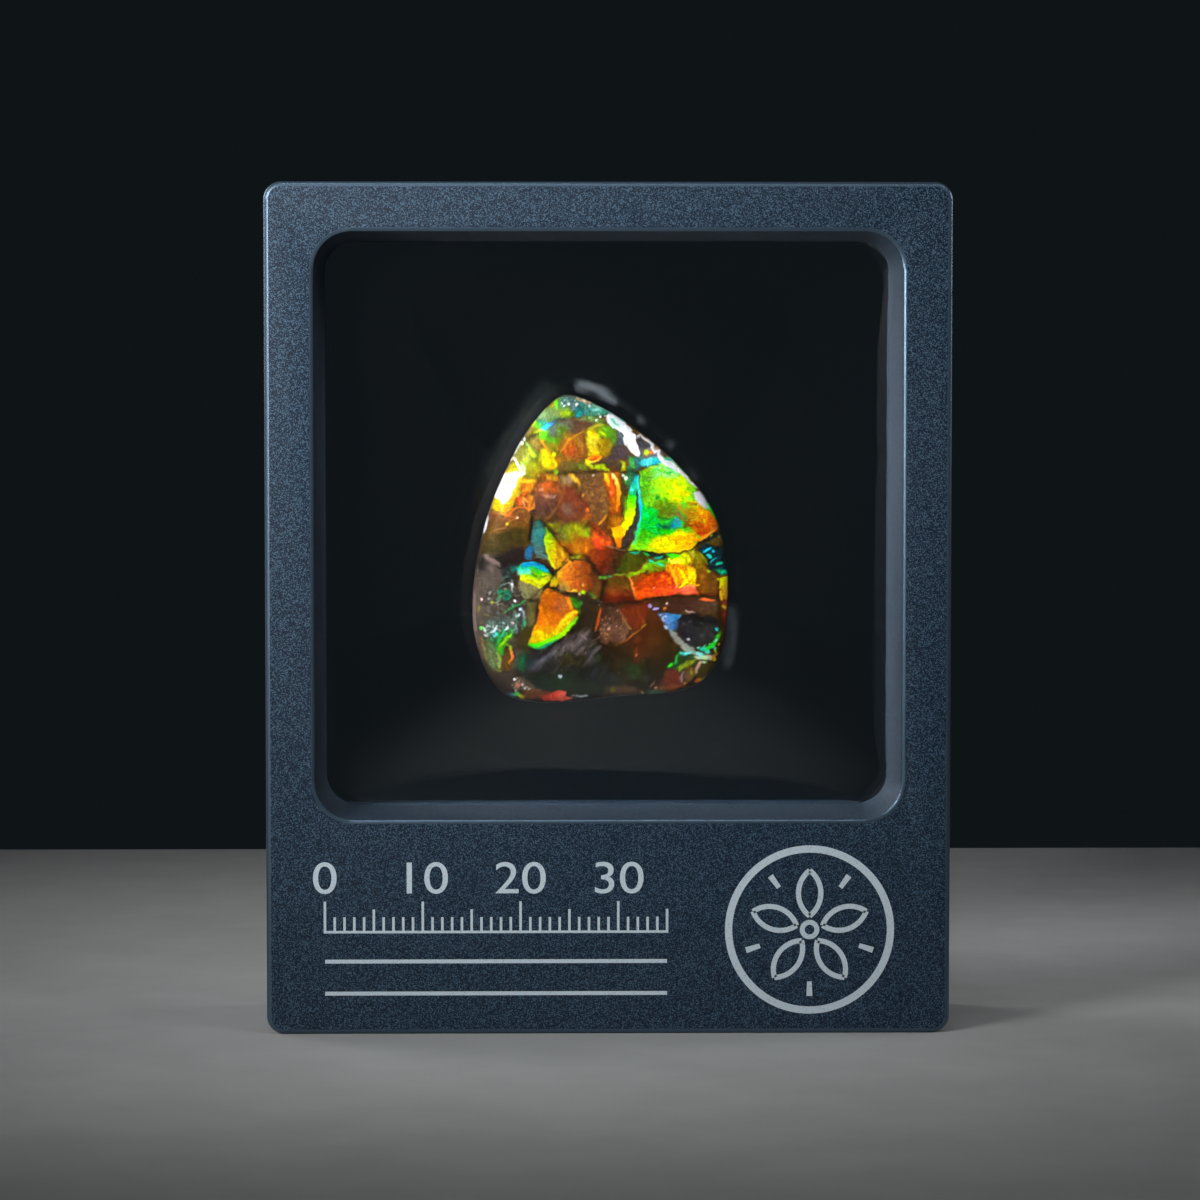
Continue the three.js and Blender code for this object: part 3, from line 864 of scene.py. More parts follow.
SHOULDER = (
    ("-9.9,59.4 -8.4,61 -7,61.2 -5.9,59.9 -4.6,58.9 -4.4,57.9 -6.3,57.4 -8.2,56.7 -9.3,57.4",
     "6A7A14 848A14 947814", -30, 0.5),
    ("-8.7,61 -8,62 -7.2,61.9 -7.5,61.3 -8.1,61", "A89048 8A8010", 0, 0.4),
    ("-6.7,61 -5,60.9 -4.6,59.9 -5.6,59.7 -6.3,60.2", "8A8A08 A88A10", 0, 0.8),
    ("-7.3,61.7 -6.3,61.7 -5.8,61.2 -4.8,61.1 -5.2,60.6 -6.8,60.7 -7.3,61.2", "80D800 48B810 509010", 0, 0.8),
    ("-8.3,60.8 -7.4,61.2 -6.9,60.7 -6.4,60 -6.6,59.3 -7.3,59.4 -8.1,60.1", "94781E A0841E 946E14", 0, 0.34),
    ("-9.9,58.9 -9.1,60.3 -8.5,60.4 -7.8,59.4 -7.4,58.6 -8.3,58.3 -9.5,58.4", "8E7C34 8A8A24 74801A", 0, 0.4),
    ("-8.6,59 -8.1,59.3 -7.9,58.8 -8.3,58.4", "C8E020", 0, 0.6),
    ("-7,59.6 -6.4,59.7 -5.9,59.2 -5.3,58.5 -5.1,57.9 -5.5,57.7 -6.4,57.8 -7,58.7",
     "E8E000 FFF000 FFD000", -60, 0.4),
    ("-5.7,59.2 -5.2,59 -4.9,58.4 -5.1,58.2", "C86008 F06010", 0, 0.34),
    ("-5,62.2 -4,62 -3.8,61.5 -4.8,60.8 -5.2,61.2", "5A8018 4A6A18", 0, 1),
    ("-5,61 -3,61.5 -2.2,61.3 -2.1,58.2 -4.9,57.9", "7A4E1C 9A5818 8A6418", 90, 1.0),
    ("-4.9,59.6 -4.2,60.4 -3.6,60.8 -3.2,59.6 -3.5,58.9 -4.8,58.9", "B86410 C8561C A04A18", -30, 0.9),
    ("-1,60.6 0,60.9 0.5,60.3 0.3,59.4 -0.3,59 -0.8,59.2", "C89A08 A88808 8A8020", 0, 0.45),
    ("-1.2,62.1 -0.4,62.3 0.4,62.2 0.9,61.4 1,60.4 0.5,60 0.2,60.6 -0.7,61.1",
     "98B808 60A810 507A28", 0, 0.6),
    ("-2.1,61.6 -1.5,62 -0.9,61.6 -0.7,60.9 -1.1,60.2 -0.8,59.6 -0.7,59.1 -2,59.1 -2.15,60.2",
     "FFD800 FFF030 FFE800", 90, 0.34),
    ("0.9,61.6 1.5,61.8 1.7,61 1.6,60.2 1,60 1,60.9", "485860 5A7078", 90, 0.4),
    ("0.5,59.9 1.8,60.2 2.4,59.3 2.6,58.7 1.2,58.6 -0.4,58.7 0.3,59.2", "4A3E3E 544448", 0, 0.4),
    ("-2.3,58.6 -1.8,58.6 -1.5,58.1 -0.4,58.2 0.2,57.7 0.2,57.35 -0.6,57.6 -1.6,57.8 -2.2,58.1",
     "E8D810 E0F010 C8F008 F0E810", -20, 0.18),
    ("-1.6,58.3 -0.4,58.6 0.9,58.6 0.9,58.2 0.2,58 -0.5,58.3", "4A4038 5A4A30", 0, 0.34),
    ("1.2,58.55 1.9,58.4 1.9,57.6 1.4,57.5 1.4,58.1", "F0F010 C8E808", 90, 0.18),
    ("2.2,58.9 3,59 3,57.7 2.2,57.7", "40A838 50C860 38A848", 90, 0.34),
    ("3,59 3.5,59 3.6,57.6 3,57.6", "306A70 2A8A88", 90, 0.34),
    ("2.9,61.2 3.4,61 4.4,60.3 4.6,59.6 3.9,59.6 3.3,59.6 3.2,60.4", "3A3A40 505056", 0, 0.34),
    ("3.3,59.7 5.2,60.1 6.4,59.2 6,58.8 4.4,58.9 3.4,59", "5A5A50 8A7A80 6A4A30", 0, 0.4),
    ("3.5,59 4.6,59 6,59 6.8,58.8 7.2,58 5.6,58 4.6,57.9 3.6,57.9",
     "30B8C0 60D8D8 10B8D0 28C0A0 48E0A0", 0, 0.4),
)

LEFT = (
    ("-12.4,53 -11.5,53.6 -10.8,52.8 -9.8,53.2 -9,53.7 -8,53.4 -7.6,53.2 -7.7,51.8 -8,50.3 -8.6,49.9"
     " -9.5,49.6 -10.8,49.1 -12,48.9 -13,49 -12.9,50.8",
     "3E3610 4A3A10 5A4210 7A4C10 7A4818 8A5220", 90, 0.4),
    ("-10.9,53 -9.5,53 -9.4,52.5 -10.8,52.5", "A85A18", 0, 0.8),
    ("-11.4,50.6 -10,51.2 -8.5,51.4 -8.2,50.2 -9.5,49.8 -11.2,49.8", "3A3208 4A3A0C", 0, 1),
    ("-12.1,53.9 -11.6,54.9 -11.3,54.9 -11.3,54 -11.6,53.7", "A8B050 6A7038 B8C860", 0, 0.34),
    ("-9.2,58.5 -8,58.6 -6.9,58.5 -7,57.6 -7.1,56.9 -7.8,56.7 -8.4,57.1 -8.6,57.6",
     "98B810 A8B808 A49C08 AC8C08", -45, 0.4),
    ("-10.3,57.8 -9.8,58.4 -9.3,58 -9.5,57.5", "E8D808 F0F010", 0, 0.34),
    ("-12.4,53.8 -11.9,55 -11.2,57.3 -10.4,57.9 -8.9,57.7 -8.6,56.2 -8.9,55.5 -9.2,54.7 -9.6,54.2 -9.8,53.6"
     " -10.4,53.1 -11,52.9 -11.6,53.4", "FFC000 FFE800 FFF400", 120, 0.18),
    ("-8.9,56.9 -7.9,56.8 -7.2,56.6 -7.5,55.9 -8.1,55 -8.8,54.8 -9,55.4", "E86A10 F08810 FFA808", 90, 0.34),
    ("-9.4,54.8 -8.6,54.9 -8.6,54 -9.1,53.8 -9.4,54.2", "C84A14 D8601C", 0, 0.4),
    ("-8.2,55 -7.6,54.9 -7.5,54 -7.7,53.5 -8.3,53.5 -8.4,54.2", "F07820 FFA028 F0781C", 0, 0.34),
    ("-6.9,57.4 -6.4,57.1 -6.6,56.6 -7.1,56.8", "B86010", 0, 0.34),
    ("-6.5,57.1 -5.9,57.2 -5,57.1 -5,56.5 -5.8,56.5 -6.4,56.7", "FFA810 FFC020 F8A010", 0, 0.15),
    ("-7.5,56.1 -6.8,56.5 -5,56.4 -4,56.1 -4.7,54.3 -5.4,53 -6.5,52.2 -7.5,52.3 -7.7,53.2 -7.5,54.3",
     "6A4818 5E3A2C 6A4030 8A4A28 B05A20", 90, 0.6),
    ("-6.6,56.4 -5.6,56.4 -5.4,55.4 -6.2,55.2 -6.7,55.6", "D86A20 C85A1C", 0, 1),
    ("-7.6,52.3 -7,52.6 -6.7,52.3 -6.45,51.6 -6.5,49.8 -6.4,49 -6,48.2 -6.9,48.3 -7.4,48.8 -7.8,49.8 -8,50.8",
     "7A6A4A 5A9088 5A8A80 3A8A88 3A9898 3A8878 5A7058", 90, 0.18),
    ("-6.4,51.8 -6,51.3 -5,50.2 -4.6,49.7 -4.9,48.8 -5.1,48 -5.5,47.2 -6.2,48.6 -6.5,50",
     "F89800 F8D000 D8D800 A8E000 70D010", 115, 0.1),
    ("-6.4,52.2 -5,52.2 -4.8,51.5 -5.2,51 -5.8,51.6", "888808 908010", 0, 0.34),
)

CENTRE = (
    ("-4.9,58.5 -2.4,58.4 -2.2,57.6 -4.8,57.5", "7A5A28 6A6020 6A8020", 0, 0.4),
    ("-4.9,57.4 -3.9,57.1 -3.4,56.4 -3.9,56 -4.9,56.3", "9A7A40 A89068", 0, 0.6),
    ("-3.3,57.4 -2,57.5 -0.6,57.5 -0.4,56.6 -0.1,55.6 0,54 -0.1,53 -0.8,52.2 -1.4,51.9 -1.9,52.4 -1.9,53.3"
     " -2.3,54.5 -2.6,55.4 -2.9,56.1", "6A4220 7A4E28 8A5A30 80562C 7A5A30", 90, 0.5),
    ("-4.9,56.1 -3.9,56.1 -3,55.9 -2.6,55.2 -2.2,54.2 -2,53.4 -2.2,52.5 -3.6,52.3 -5,52.5 -5.2,54",
     "8A4420 7A3420 6A3A20", -60, 1.0),
    ("-4.7,54 -3.8,54.1 -3.7,53.2 -4.6,53.2", "7A5A48", 0, 1),
    ("-2.3,53.2 -1.8,53.2 -1.9,52.4 -2.3,52.4", "B85A14", 0, 0.6),
    ("1.1,57.6 1.7,57.3 1.9,56.2 1.9,55 1.7,53.8 1.2,52.9 1.1,54.4 1.2,55.4 1.1,56.4",
     "4A4018 5A4A1C 504028", 90, 0.34),
    ("0.8,58.4 1.3,58.3 1.4,57.6 0.9,57.6", "5A4A40", 0, 0.34),
    ("-0.6,57.4 1.3,57.6 1.3,56 1.3,53 0,52.9 0.1,54.6", "B05010 C8600C D87010", 90, 0.34),
    ("-0.5,57.3 0.15,57.4 0.2,56.6 0.05,56.1 -0.3,56.6", "FFE020 FFA010", -60, 0.18),
    ("0.3,57.3 0.8,57.1 0.9,56.4 1.2,55.6 1.25,54.8 1.1,54.2 0.9,54.5 0.95,55.4 0.5,56.4 0.2,56.6",
     "FFE890 FFB840 FF9010 F08008", -80, 0.18),
    ("0.2,56.4 0.6,56.4 0.9,55.8 0.8,55.2 0.5,54.9 0.1,54.8 0.15,55.6", "E86010 E05018", -60, 0.34),
    ("0.75,55 1.25,55 1.15,53.8 1.1,53 0.7,53 0.8,54", "A85010 C86410 F08810", 90, 0.34),
    ("2,58 2.9,57.6 3,56.8 2.4,56 2,55.8 2,56.6", "2E9A60 4A8A58 2A8A80", 0, 0.34),
    ("1.5,57.3 2.1,57.2 2.1,56.3 1.8,56.1", "58B038", 0, 0.34),
    ("2.95,57.3 3.2,56.6 3.05,55.6 3,54.8 2.4,54.7 2.2,55.2 2.4,56", "18D860 20E0C0 18C8D0", 90, 0.18),
    ("2.2,55.3 3,54.9 3,53 2.6,52.2 2.2,51.4 1.4,51.3 1.3,51.9 1.7,52.6 1.9,53.8 2,54.6",
     "FFE800 E8F800 C8F800 A8F800 58E000 10C810", 90, 0.1),
    ("0,52.9 1.3,53 1.7,52.6 1.4,52 0.4,51.6 0.1,50.9 -0.2,51.4 -0.1,52.2", "9A5010 C87808 B07010", 0, 0.34),
    ("0.3,51.6 1.3,51.9 1.9,51.4 1.8,51 1.5,50.4 1.3,49.6 0.9,49.7 0.7,50.4",
     "F08008 FF9808 FFC800 F8A808", 90, 0.1),
    ("-0.1,51.5 0.3,51.5 0.7,50.3 0.9,49.6 0.5,49.4 0,50.3", "6A3C10", 0, 0.34),
    ("-5,52.1 -3.6,52.4 -2.4,52.4 -1.8,51.6 -1.9,50.8 -2.8,50.3 -4.2,50.4 -5,50.8",
     "6A8838 909008 A0A808 88A010", 0, 1.3),
    ("-4.9,50.6 -4.2,50.5 -2.8,50.4 -1.9,50.9 -1.4,50.2 -1.5,49.4 -2.4,48.9 -3.9,49 -4.6,49.6",
     "D87808 B86A08 C86010", 0, 1.3),
    ("-1.9,52.2 -1.3,52.1 -0.8,51.6 -1.3,51 -1.8,51.5", "A84010", 0, 0.34),
    ("-0.9,51.7 -0.5,51.5 -0.1,50.9 0.2,50 0.4,49.4 -1.4,49.5 -1.6,50.4 -1.3,51.2",
     "D84A10 F0501C E05A18", 90, 0.8),
    ("-4.2,50 -2.7,50 -2.7,49 -4.3,49", "A8560C B86A0C", 0, 0.6),
    ("-5.2,50 -4.6,49.4 -4.1,48.9 -3.9,48.6 -4.6,47.9 -5.2,47.2 -5.5,47.5", "F0A010 FFB818 F8B010", 0, 0.18),
    ("-3.9,48.7 -3.5,48.9 -2.6,49 -2.65,48.5 -3.7,48.4", "A8C818 D0C820 C8B018", 0, 0.18),
    ("2.95,55.4 3.15,55.2 3.3,54 3.3,52.6 2.9,51.4 2.3,50.4 1.9,49.6 1.3,49.5 1.9,50.8 2.5,51.9 2.9,53"
     " 2.95,54.2", "3A3028 4A4040 3A3A34 2A4840", 90, 0.15),
)

GREEN_PLATE = (
    ("3.3,57.4 4.5,58.1 5.6,58.3 7.4,57.9 8.6,56.8 9.6,54.9 10.8,53.9 11.6,52.4 11.5,51.5 9.2,50 7.5,49.2"
     " 5.8,49.1 2.1,49.3 3,51 3.5,52.6 3.5,55", "C8F010 50D808 20C020 20B428 50C818 88E010 A8F030", 90, 0.1),
    ("3.6,57.2 4.8,57 5.2,55.6 5.2,53.5 4,53.5 3.6,55", "50B010 60B030", 0, 0.6),
    ("4.6,56.9 7.6,57.2 8.9,55.9 9.2,54.6 8.3,54.1 7,54 5.2,54 4.8,55.4",
     "A0F818 B8FF08 D8FF00 F8F800", -10, 1.6),
    ("4.3,56.7 4.6,57.8 6,58 7.5,57.6 7.6,56.9 6,56.6", "78E070 98E080 90E860", 0, 0.8),
    ("3.6,53.8 5.5,53.8 5.5,51 3.4,51 3.6,52.4", "00C838 00D030", 90, 0.6),
    ("2.1,49.3 3,51 3.6,51.4 5,51.2 5.2,50.4 4.4,49.3", "A0E810 60E010 30D010", 60, 0.8),
    ("5,54.3 7,54.3 7.2,52.9 5.2,52.8", "608A08 5A7A10", 0, 0.8),
    ("6,53.6 7.4,53.4 7.4,52.8 6.6,52.6 6,52.9", "5A7A18 5A6420", 0, 0.8),
    ("5.3,52.1 6.5,52.2 6.5,51.2 5.3,51.1", "087840 0A5A38", 0, 0.6),
    ("5.5,51.5 7.5,51.5 7.6,50.8 5.5,50.8", "20C800", 0, 0.6),
    ("6.6,52.3 7,52.6 7.4,52.2 7.8,51.8 7.5,51.4 6.9,51.3 6.4,51.6", "187880 1098A0", 0, 0.45),
    ("8.3,54.3 9.4,54.4 9.9,53.9 9.8,52.9 9,52.5 8.3,52.8", "E8E000 F0E800 C8B008", -40, 0.45),
    ("8.2,54.2 9.6,54.2 11.4,52 11.5,51.5 10,51.2 8.2,52", "B0A008 C08808 C87010", -40, 0.6),
    ("9.6,53.6 10.6,53.5 11.2,52.6 11.5,51.8 11.3,51.6 10.5,51.9 9.8,52.3 9.5,52.9",
     "F09808 F07808 E05A10", -30, 0.34),
    ("8,52.4 9.4,52.1 10.5,51.9 11.2,51.4 10.4,50.8 9.8,50.6 9,50.9 8.4,51.4 7.9,51.8",
     "8A6008 B04A08 A83808 C84808", 0, 0.6),
    ("4.5,50.4 6,50.9 8,51.2 9,51 9.3,50.3 8.6,49.6 7.5,49.2 6,49.1 4.2,49.3",
     "D8F800 F8F000 FFD800 FFB000 F08008", 0, 0.6),
    ("9.6,50.2 11.6,51.4 12.4,50.6 12.2,49.3 10,49.4", "16201C 24302A", 0, 0.4),
)

RIGHT = (
    ("0.9,49.2 4,49.1 7.5,49 10,50 11.8,51 13,47 13,44.4 9,44.6 5,44.3 1.2,43.8 -0.3,43.8 -0.3,46.2 0.6,47",
     "7A3410 6A4210 5A4A18", 90, 0.26),
    ("-2.5,49.2 -1,49.6 0.5,49.6 0.9,49.2 0.6,48.4 0.5,47.2 -0.3,46.8 -0.9,47.3 -1.5,48 -2,48.7",
     "A84A10 8A2E10 5A2410", 0, 0.6),
    ("-0.6,48.1 0,48.2 0.2,47.5 -0.4,47", "5A1E0C", 0, 0.6),
    ("0.6,49.2 1.6,49.2 1.6,46.9 0.6,46.9", "3A2410 4A2A14", 90, 0.4),
    ("1.6,48.9 2.4,49 4.2,49 4,48.2 3.2,47.6 2.2,47 0.9,46.9 1.2,47.8", "3A4A10 4E5008 3A3A0C", 0, 0.4),
    ("0,46.2 2.1,46.5 2.6,45.4 2.9,44.4 2.9,44.1 1,43.7 -0.3,43.6 -0.3,44.4 -0.2,45.4",
     "8A2E14 6A200C 8A3A10 7A5010 6A4A10", 90, 0.18),
    ("2.2,46.6 3,46.9 4.6,47 5.8,47.2 6.8,46.8 7.1,45.8 7.4,45.4 7.4,44.7 5.6,44.5 3.5,44.1 3.1,44.1"
     " 2.9,44.9 2.6,45.6", "7A4A10 A84008 D04008 E84810 F85818 FF5018", -60, 0.1),
    ("4,47.6 4,48 5.8,48.5 6.4,48.6 6.3,47.8 5.8,47.2 4.2,47", "A88A08 78B010 50B008", 90, 0.34),
    ("2,46.7 2.6,47.1 3.4,47.4 3.6,47.8 4.5,48.1 4.6,47.5 3.4,47 2.6,46.6 2.2,46.4",
     "A0E008 C8F010 78D010", 0, 0.18),
    ("4.1,49 5.9,49 5.9,48.6 4.2,48.6", "203A30", 0, 0.34),
    ("6,48 6.3,48.7 7.2,48.9 8.4,48.9 8.8,48 8.4,47.4 7.2,47.8", "98C810 D8E000 F8F000 D8C808", -40, 0.4),
    ("6.1,47.9 7.2,48 8.4,47.7 9.1,47.5 9.1,46.4 9.2,45.5 8.4,45.4 7.6,45.8 7.2,45.5 6.7,46.8 6,47.2",
     "F88808 FFA008 FFB808", -30, 0.1),
    ("8.2,47.2 8.7,47.3 9.1,46.9 9,45.9 8.5,45.6 8,45.9", "FFE000 FFD000", -90, 0.4),
    ("6.4,44.7 6.8,45.8 7.4,45.5 8.8,45.7 9.2,45.4 9.4,44.8 8.4,44.7", "F84020 FF6038 FF7048 FF5030", 0, 0.4),
    ("8.2,49.4 9,49.5 9.1,48.9 8.9,48.3 8.7,48.3 8.3,48.9", "A8A820 C8B820", 0, 0.18),
    ("9,49.2 9.4,49.2 10,48.4 10.4,47.6 10.2,47.1 9.4,47.2 9.1,47.8", "8A8008 7A6808 8A5008", -70, 0.18),
    ("9.2,47 10.2,47 11,46.8 11.5,46.3 11.4,44.8 9.6,44.9 9.3,45.8", "6A3E08 8A5010 5A3A10 7A4818", 0, 0.34),
    ("9.3,49.3 10,50 10.8,49.9 12,49.5 13,48 13,46.8 11.4,46.7 10.6,47.2 10.4,48.2 9.8,48.8",
     "18343A 142A2C", 0, 0.34),
    ("11.2,47.2 11.8,47.4 12.5,47.1 12.6,46.7 11.5,46.6", "10C888 20E098", 0, 0.34),
    ("11.3,46.4 12.8,46.5 12.8,46.2 12,46 11.9,45.3 11.6,45.3 11.7,45.9 11.4,46.1", "FFF000", 0, 0.1),
    ("11.9,46.1 12.8,46.2 12.8,44.2 11.6,44.2 11.8,45.2", "FFB010 FF9818 FF8818", -90, 0.4),
    ("11.7,44.2 13,44.2 12.8,41.4 11.7,41.4", "A84A1C 7A2E14 6A2814", -90, 0.34),
)

LOWER_LEFT = (
    ("-11.9,48.8 -10.5,49.1 -9,49.6 -8.5,49 -8.4,48.3 -9.6,47.6 -10.6,47.2 -11.3,47.4 -11.6,48.1",
     "1E1614 2A1C1A", 0, 0.45),
    ("-13.5,48.9 -12.4,48.7 -12.2,47.8 -12.6,47.1 -13.6,47.4", "2E2824", 0, 0.6),
    ("-11,47.2 -9.8,47.9 -9.7,46.6 -10,45.8 -11,45.3", "2A3430", 0, 0.6),
    ("-9.9,47.6 -9.2,47.8 -9.2,47.2 -9.8,47.1", "209080", 0, 0.34),
    ("-8.5,49.4 -8,50 -7.65,49.6 -7.7,49 -7.9,48.4 -8.5,48.4", "3A6A90 2888C8 1878A8", 90, 0.18),
    ("-9,46.3 -7.4,45.7 -6.7,45.3 -7.1,44.4 -8.8,44.3 -9.3,45.2", "9A9868 A89850", 0, 0.45),
    ("-9.2,47.5 -8.8,48 -8,48.2 -7.2,48.1 -6.6,47.8 -6.2,47.3 -5.6,46.6 -6.2,46 -7,45.3 -7.5,45.5 -8.4,45.9"
     " -9,46.2", "D8D028 F8F000 D8F010 40E000 00B8E8 1088D8", 78, 0.1),
    ("-9.2,47.5 -8,47.4 -7.9,46.9 -9.1,46.7", "A0FFE0 20E0C8", 90, 0.45),
    ("-6.8,47 -5.7,46.7 -6.2,46 -7,45.5", "E8F010 F8F000", 0, 0.4),
    ("-5.9,46.3 -5.4,46.6 -5,46 -5.3,45.5 -5.9,45.6", "FFC800 FFE800", 90, 0.18),
    ("-6.9,44.9 -6.2,45.3 -5.8,45.2 -5.9,44.9 -6.6,44.5", "FF9010", 0, 0.18),
    ("-11.4,44.6 -11.2,45.2 -10.2,45.4 -10,44.6 -10.2,44.1 -10.9,44.2", "289860", 0, 0.34),
    ("-8.4,44 -7.3,44 -7.5,42.6 -7.6,41.4 -8.3,41.2", "6A6030 7A7038", 0, 0.4),
    ("-9.7,41.6 -8.4,41.8 -7.9,41 -8.4,39.4 -8.4,38.9 -9.8,39", "5A4A38 4A3E18 3E3A0C", 0, 0.6),
    ("-5,46.9 -4.3,47.9 -3.4,48.3 -2.4,48.3 -1.7,47.7 -1.4,46.8 -1.5,45.4 -2.2,44.9 -3.6,45 -4.7,45.3"
     " -5.1,46", "F8A018 E88020 C8601C A04A14 84380E", 0, 0.1),
    ("-4.9,46 -4,45.9 -3.4,45.2 -4.7,45.2", "98803A", 0, 0.8),
    ("-5.3,47 -4.9,47.2 -4.7,46.5 -5.1,46.2", "FFC010", 0, 0.4),
    ("-1.6,47.6 -0.8,46.7 -0.5,45.4 -0.7,44.2 -1.6,44.5 -1.5,46", "7A4A18 6A3A14", 90, 0.34),
    ("-2.9,44.2 -0.5,43.9 -0.4,41.3 -3.6,41.3 -3.2,42.6", "2E2418 3A2A18", 90, 0.6),
    ("-6.3,45.3 -5.6,45.1 -4.2,44.6 -3.4,44.2 -3,42.8 -3.3,42.1 -4.2,40.8 -5.2,40.1 -6.5,39.3 -7.3,39.1"
     " -8.3,39.5 -7.5,41.5 -7.1,43 -7,44.5", "FFE000 FFC800 F88808 E87008 D86808 E88008", 90, 0.1),
    ("-5.3,44.5 -4.2,44.3 -3.9,43.3 -4.6,42.3 -5.4,43", "C0683A B85A18", -60, 1.2),
    ("-8.1,39.7 -7.7,40.4 -6.9,40.9 -5.9,40.8 -5,41.3 -4.2,42 -3.2,42.9 -3.4,42.2 -4.4,41.2 -6,40.1"
     " -7.4,39.6", "FFD000 FFE400 FFD818", 20, 0.6),
    ("-3.8,44.3 -3.2,44.3 -2.7,43.9 -2.8,43.2 -3.5,43.2 -3.8,43.6", "3A6A18 3AA818", 90, 0.34),
)

LEFT_FOOT = (
    ("-12.9,42.2 -11,42.4 -9.3,43 -8.7,42.4 -9.3,41 -9.8,40.2 -11.2,40.2 -12.7,40.4",
     "6C7268 6A7E74 6A8074 5A6058", 0, 0.6),
    ("-12.3,40.6 -11.4,40.9 -9.8,41.2 -9.7,40.3 -10.3,40.1 -10.8,38.5 -11.2,38.4 -11.9,39.6",
     "2E7A48 3A9A50 48B838 3A8A48", 0, 0.45),
    ("-11.5,39.3 -11,38.7 -10.7,39.2 -10.2,40 -9.8,40.3 -10,40.7 -10.7,40.3 -11.2,39.8",
     "40D818 60E010 90F008", 0, 0.45),
    ("-12.9,40.3 -12.2,40.2 -11.5,39 -11,38.3 -11.1,36.8 -12.1,36.8 -12.6,37.6 -12.9,38.6",
     "80884A 80985A 86A060 98A858", 0, 0.34),
    ("-10.9,38.4 -10.3,39.2 -9.9,38.6 -9.8,36.8 -11,36.7", "6A4A18 7A4E1C 5A4014", 0, 0.4),
    ("-9.5,38.6 -8.6,38.9 -8.3,37.6 -8.9,36.9 -9.4,37.4", "1E6A38 248048 1E4A34", 0, 0.8),
)

FOOT = (
    ("-9.4,37 -8.3,38.9 -5,39.4 -1.4,38.9 1,39.2 1.6,34.2 -4,33.6 -8.8,34.6",
     "20261C 24301F 2A2A20 34302A 38322E", 90, 0.6),
    ("-8.4,39.2 -6.4,38.9 -4.8,39.9 -4,40.6 -2.9,41.1 -1.5,40.6 -1.3,38.8 -3.4,38.3 -5,37 -8,36.6",
     "343230 3E3A38 524A48 5A4E4A 4A4038", 30, 0.8),
    ("-8.8,38 -7,38.3 -6.9,37.1 -8.4,37", "3E4C54 44464E", 0, 0.8),
    ("-5,38.3 -2.4,38.6 -2,37.6 -5,37.2", "3A3416", 0, 1),
    ("-1.6,39.3 -0.9,39.2 -0.5,37.4 -1.3,37.1", "3A4638 34381C", -90, 0.6),
    ("-1.5,37.6 -0.9,37.5 -0.9,35.6 -1.5,35.6", "30323A", 0, 0.8),
    ("-0.3,38.8 0.4,38.6 0.7,35.6 -0.4,35.6", "34302E 2E2A30", -90, 0.8),
    ("-7.4,36.2 -4.6,36.6 -2,36.4 -2,34.9 -7.2,34.8", "1C2A20 22341E 242A1E", 0, 0.8),
    ("-9.6,36.2 -8.9,36.1 -7.8,35.3 -6.6,34.8 -8.6,34.5 -9.9,35", "6A5A4C 74604C 5A4A3C", 0, 0.4),
    ("-8.8,34.7 -7,34.9 -6.2,34.4 -6.6,33.7 -8.8,33.8", "7A4A20 8A4420", 0, 0.4),
    ("-6.8,34 -6,34.5 -5,34.7 -4.3,34.7 -4.3,34.1 -3.5,33.9 -4.2,33.6 -6.6,33.6",
     "E04028 F04830 FF6048 FF7858", 0, 0.1),
    ("0,35.3 2,35.1 4,35 4,34.1 -1,33.9", "3A3224 5A4030 4A3628", 0, 0.45),
)

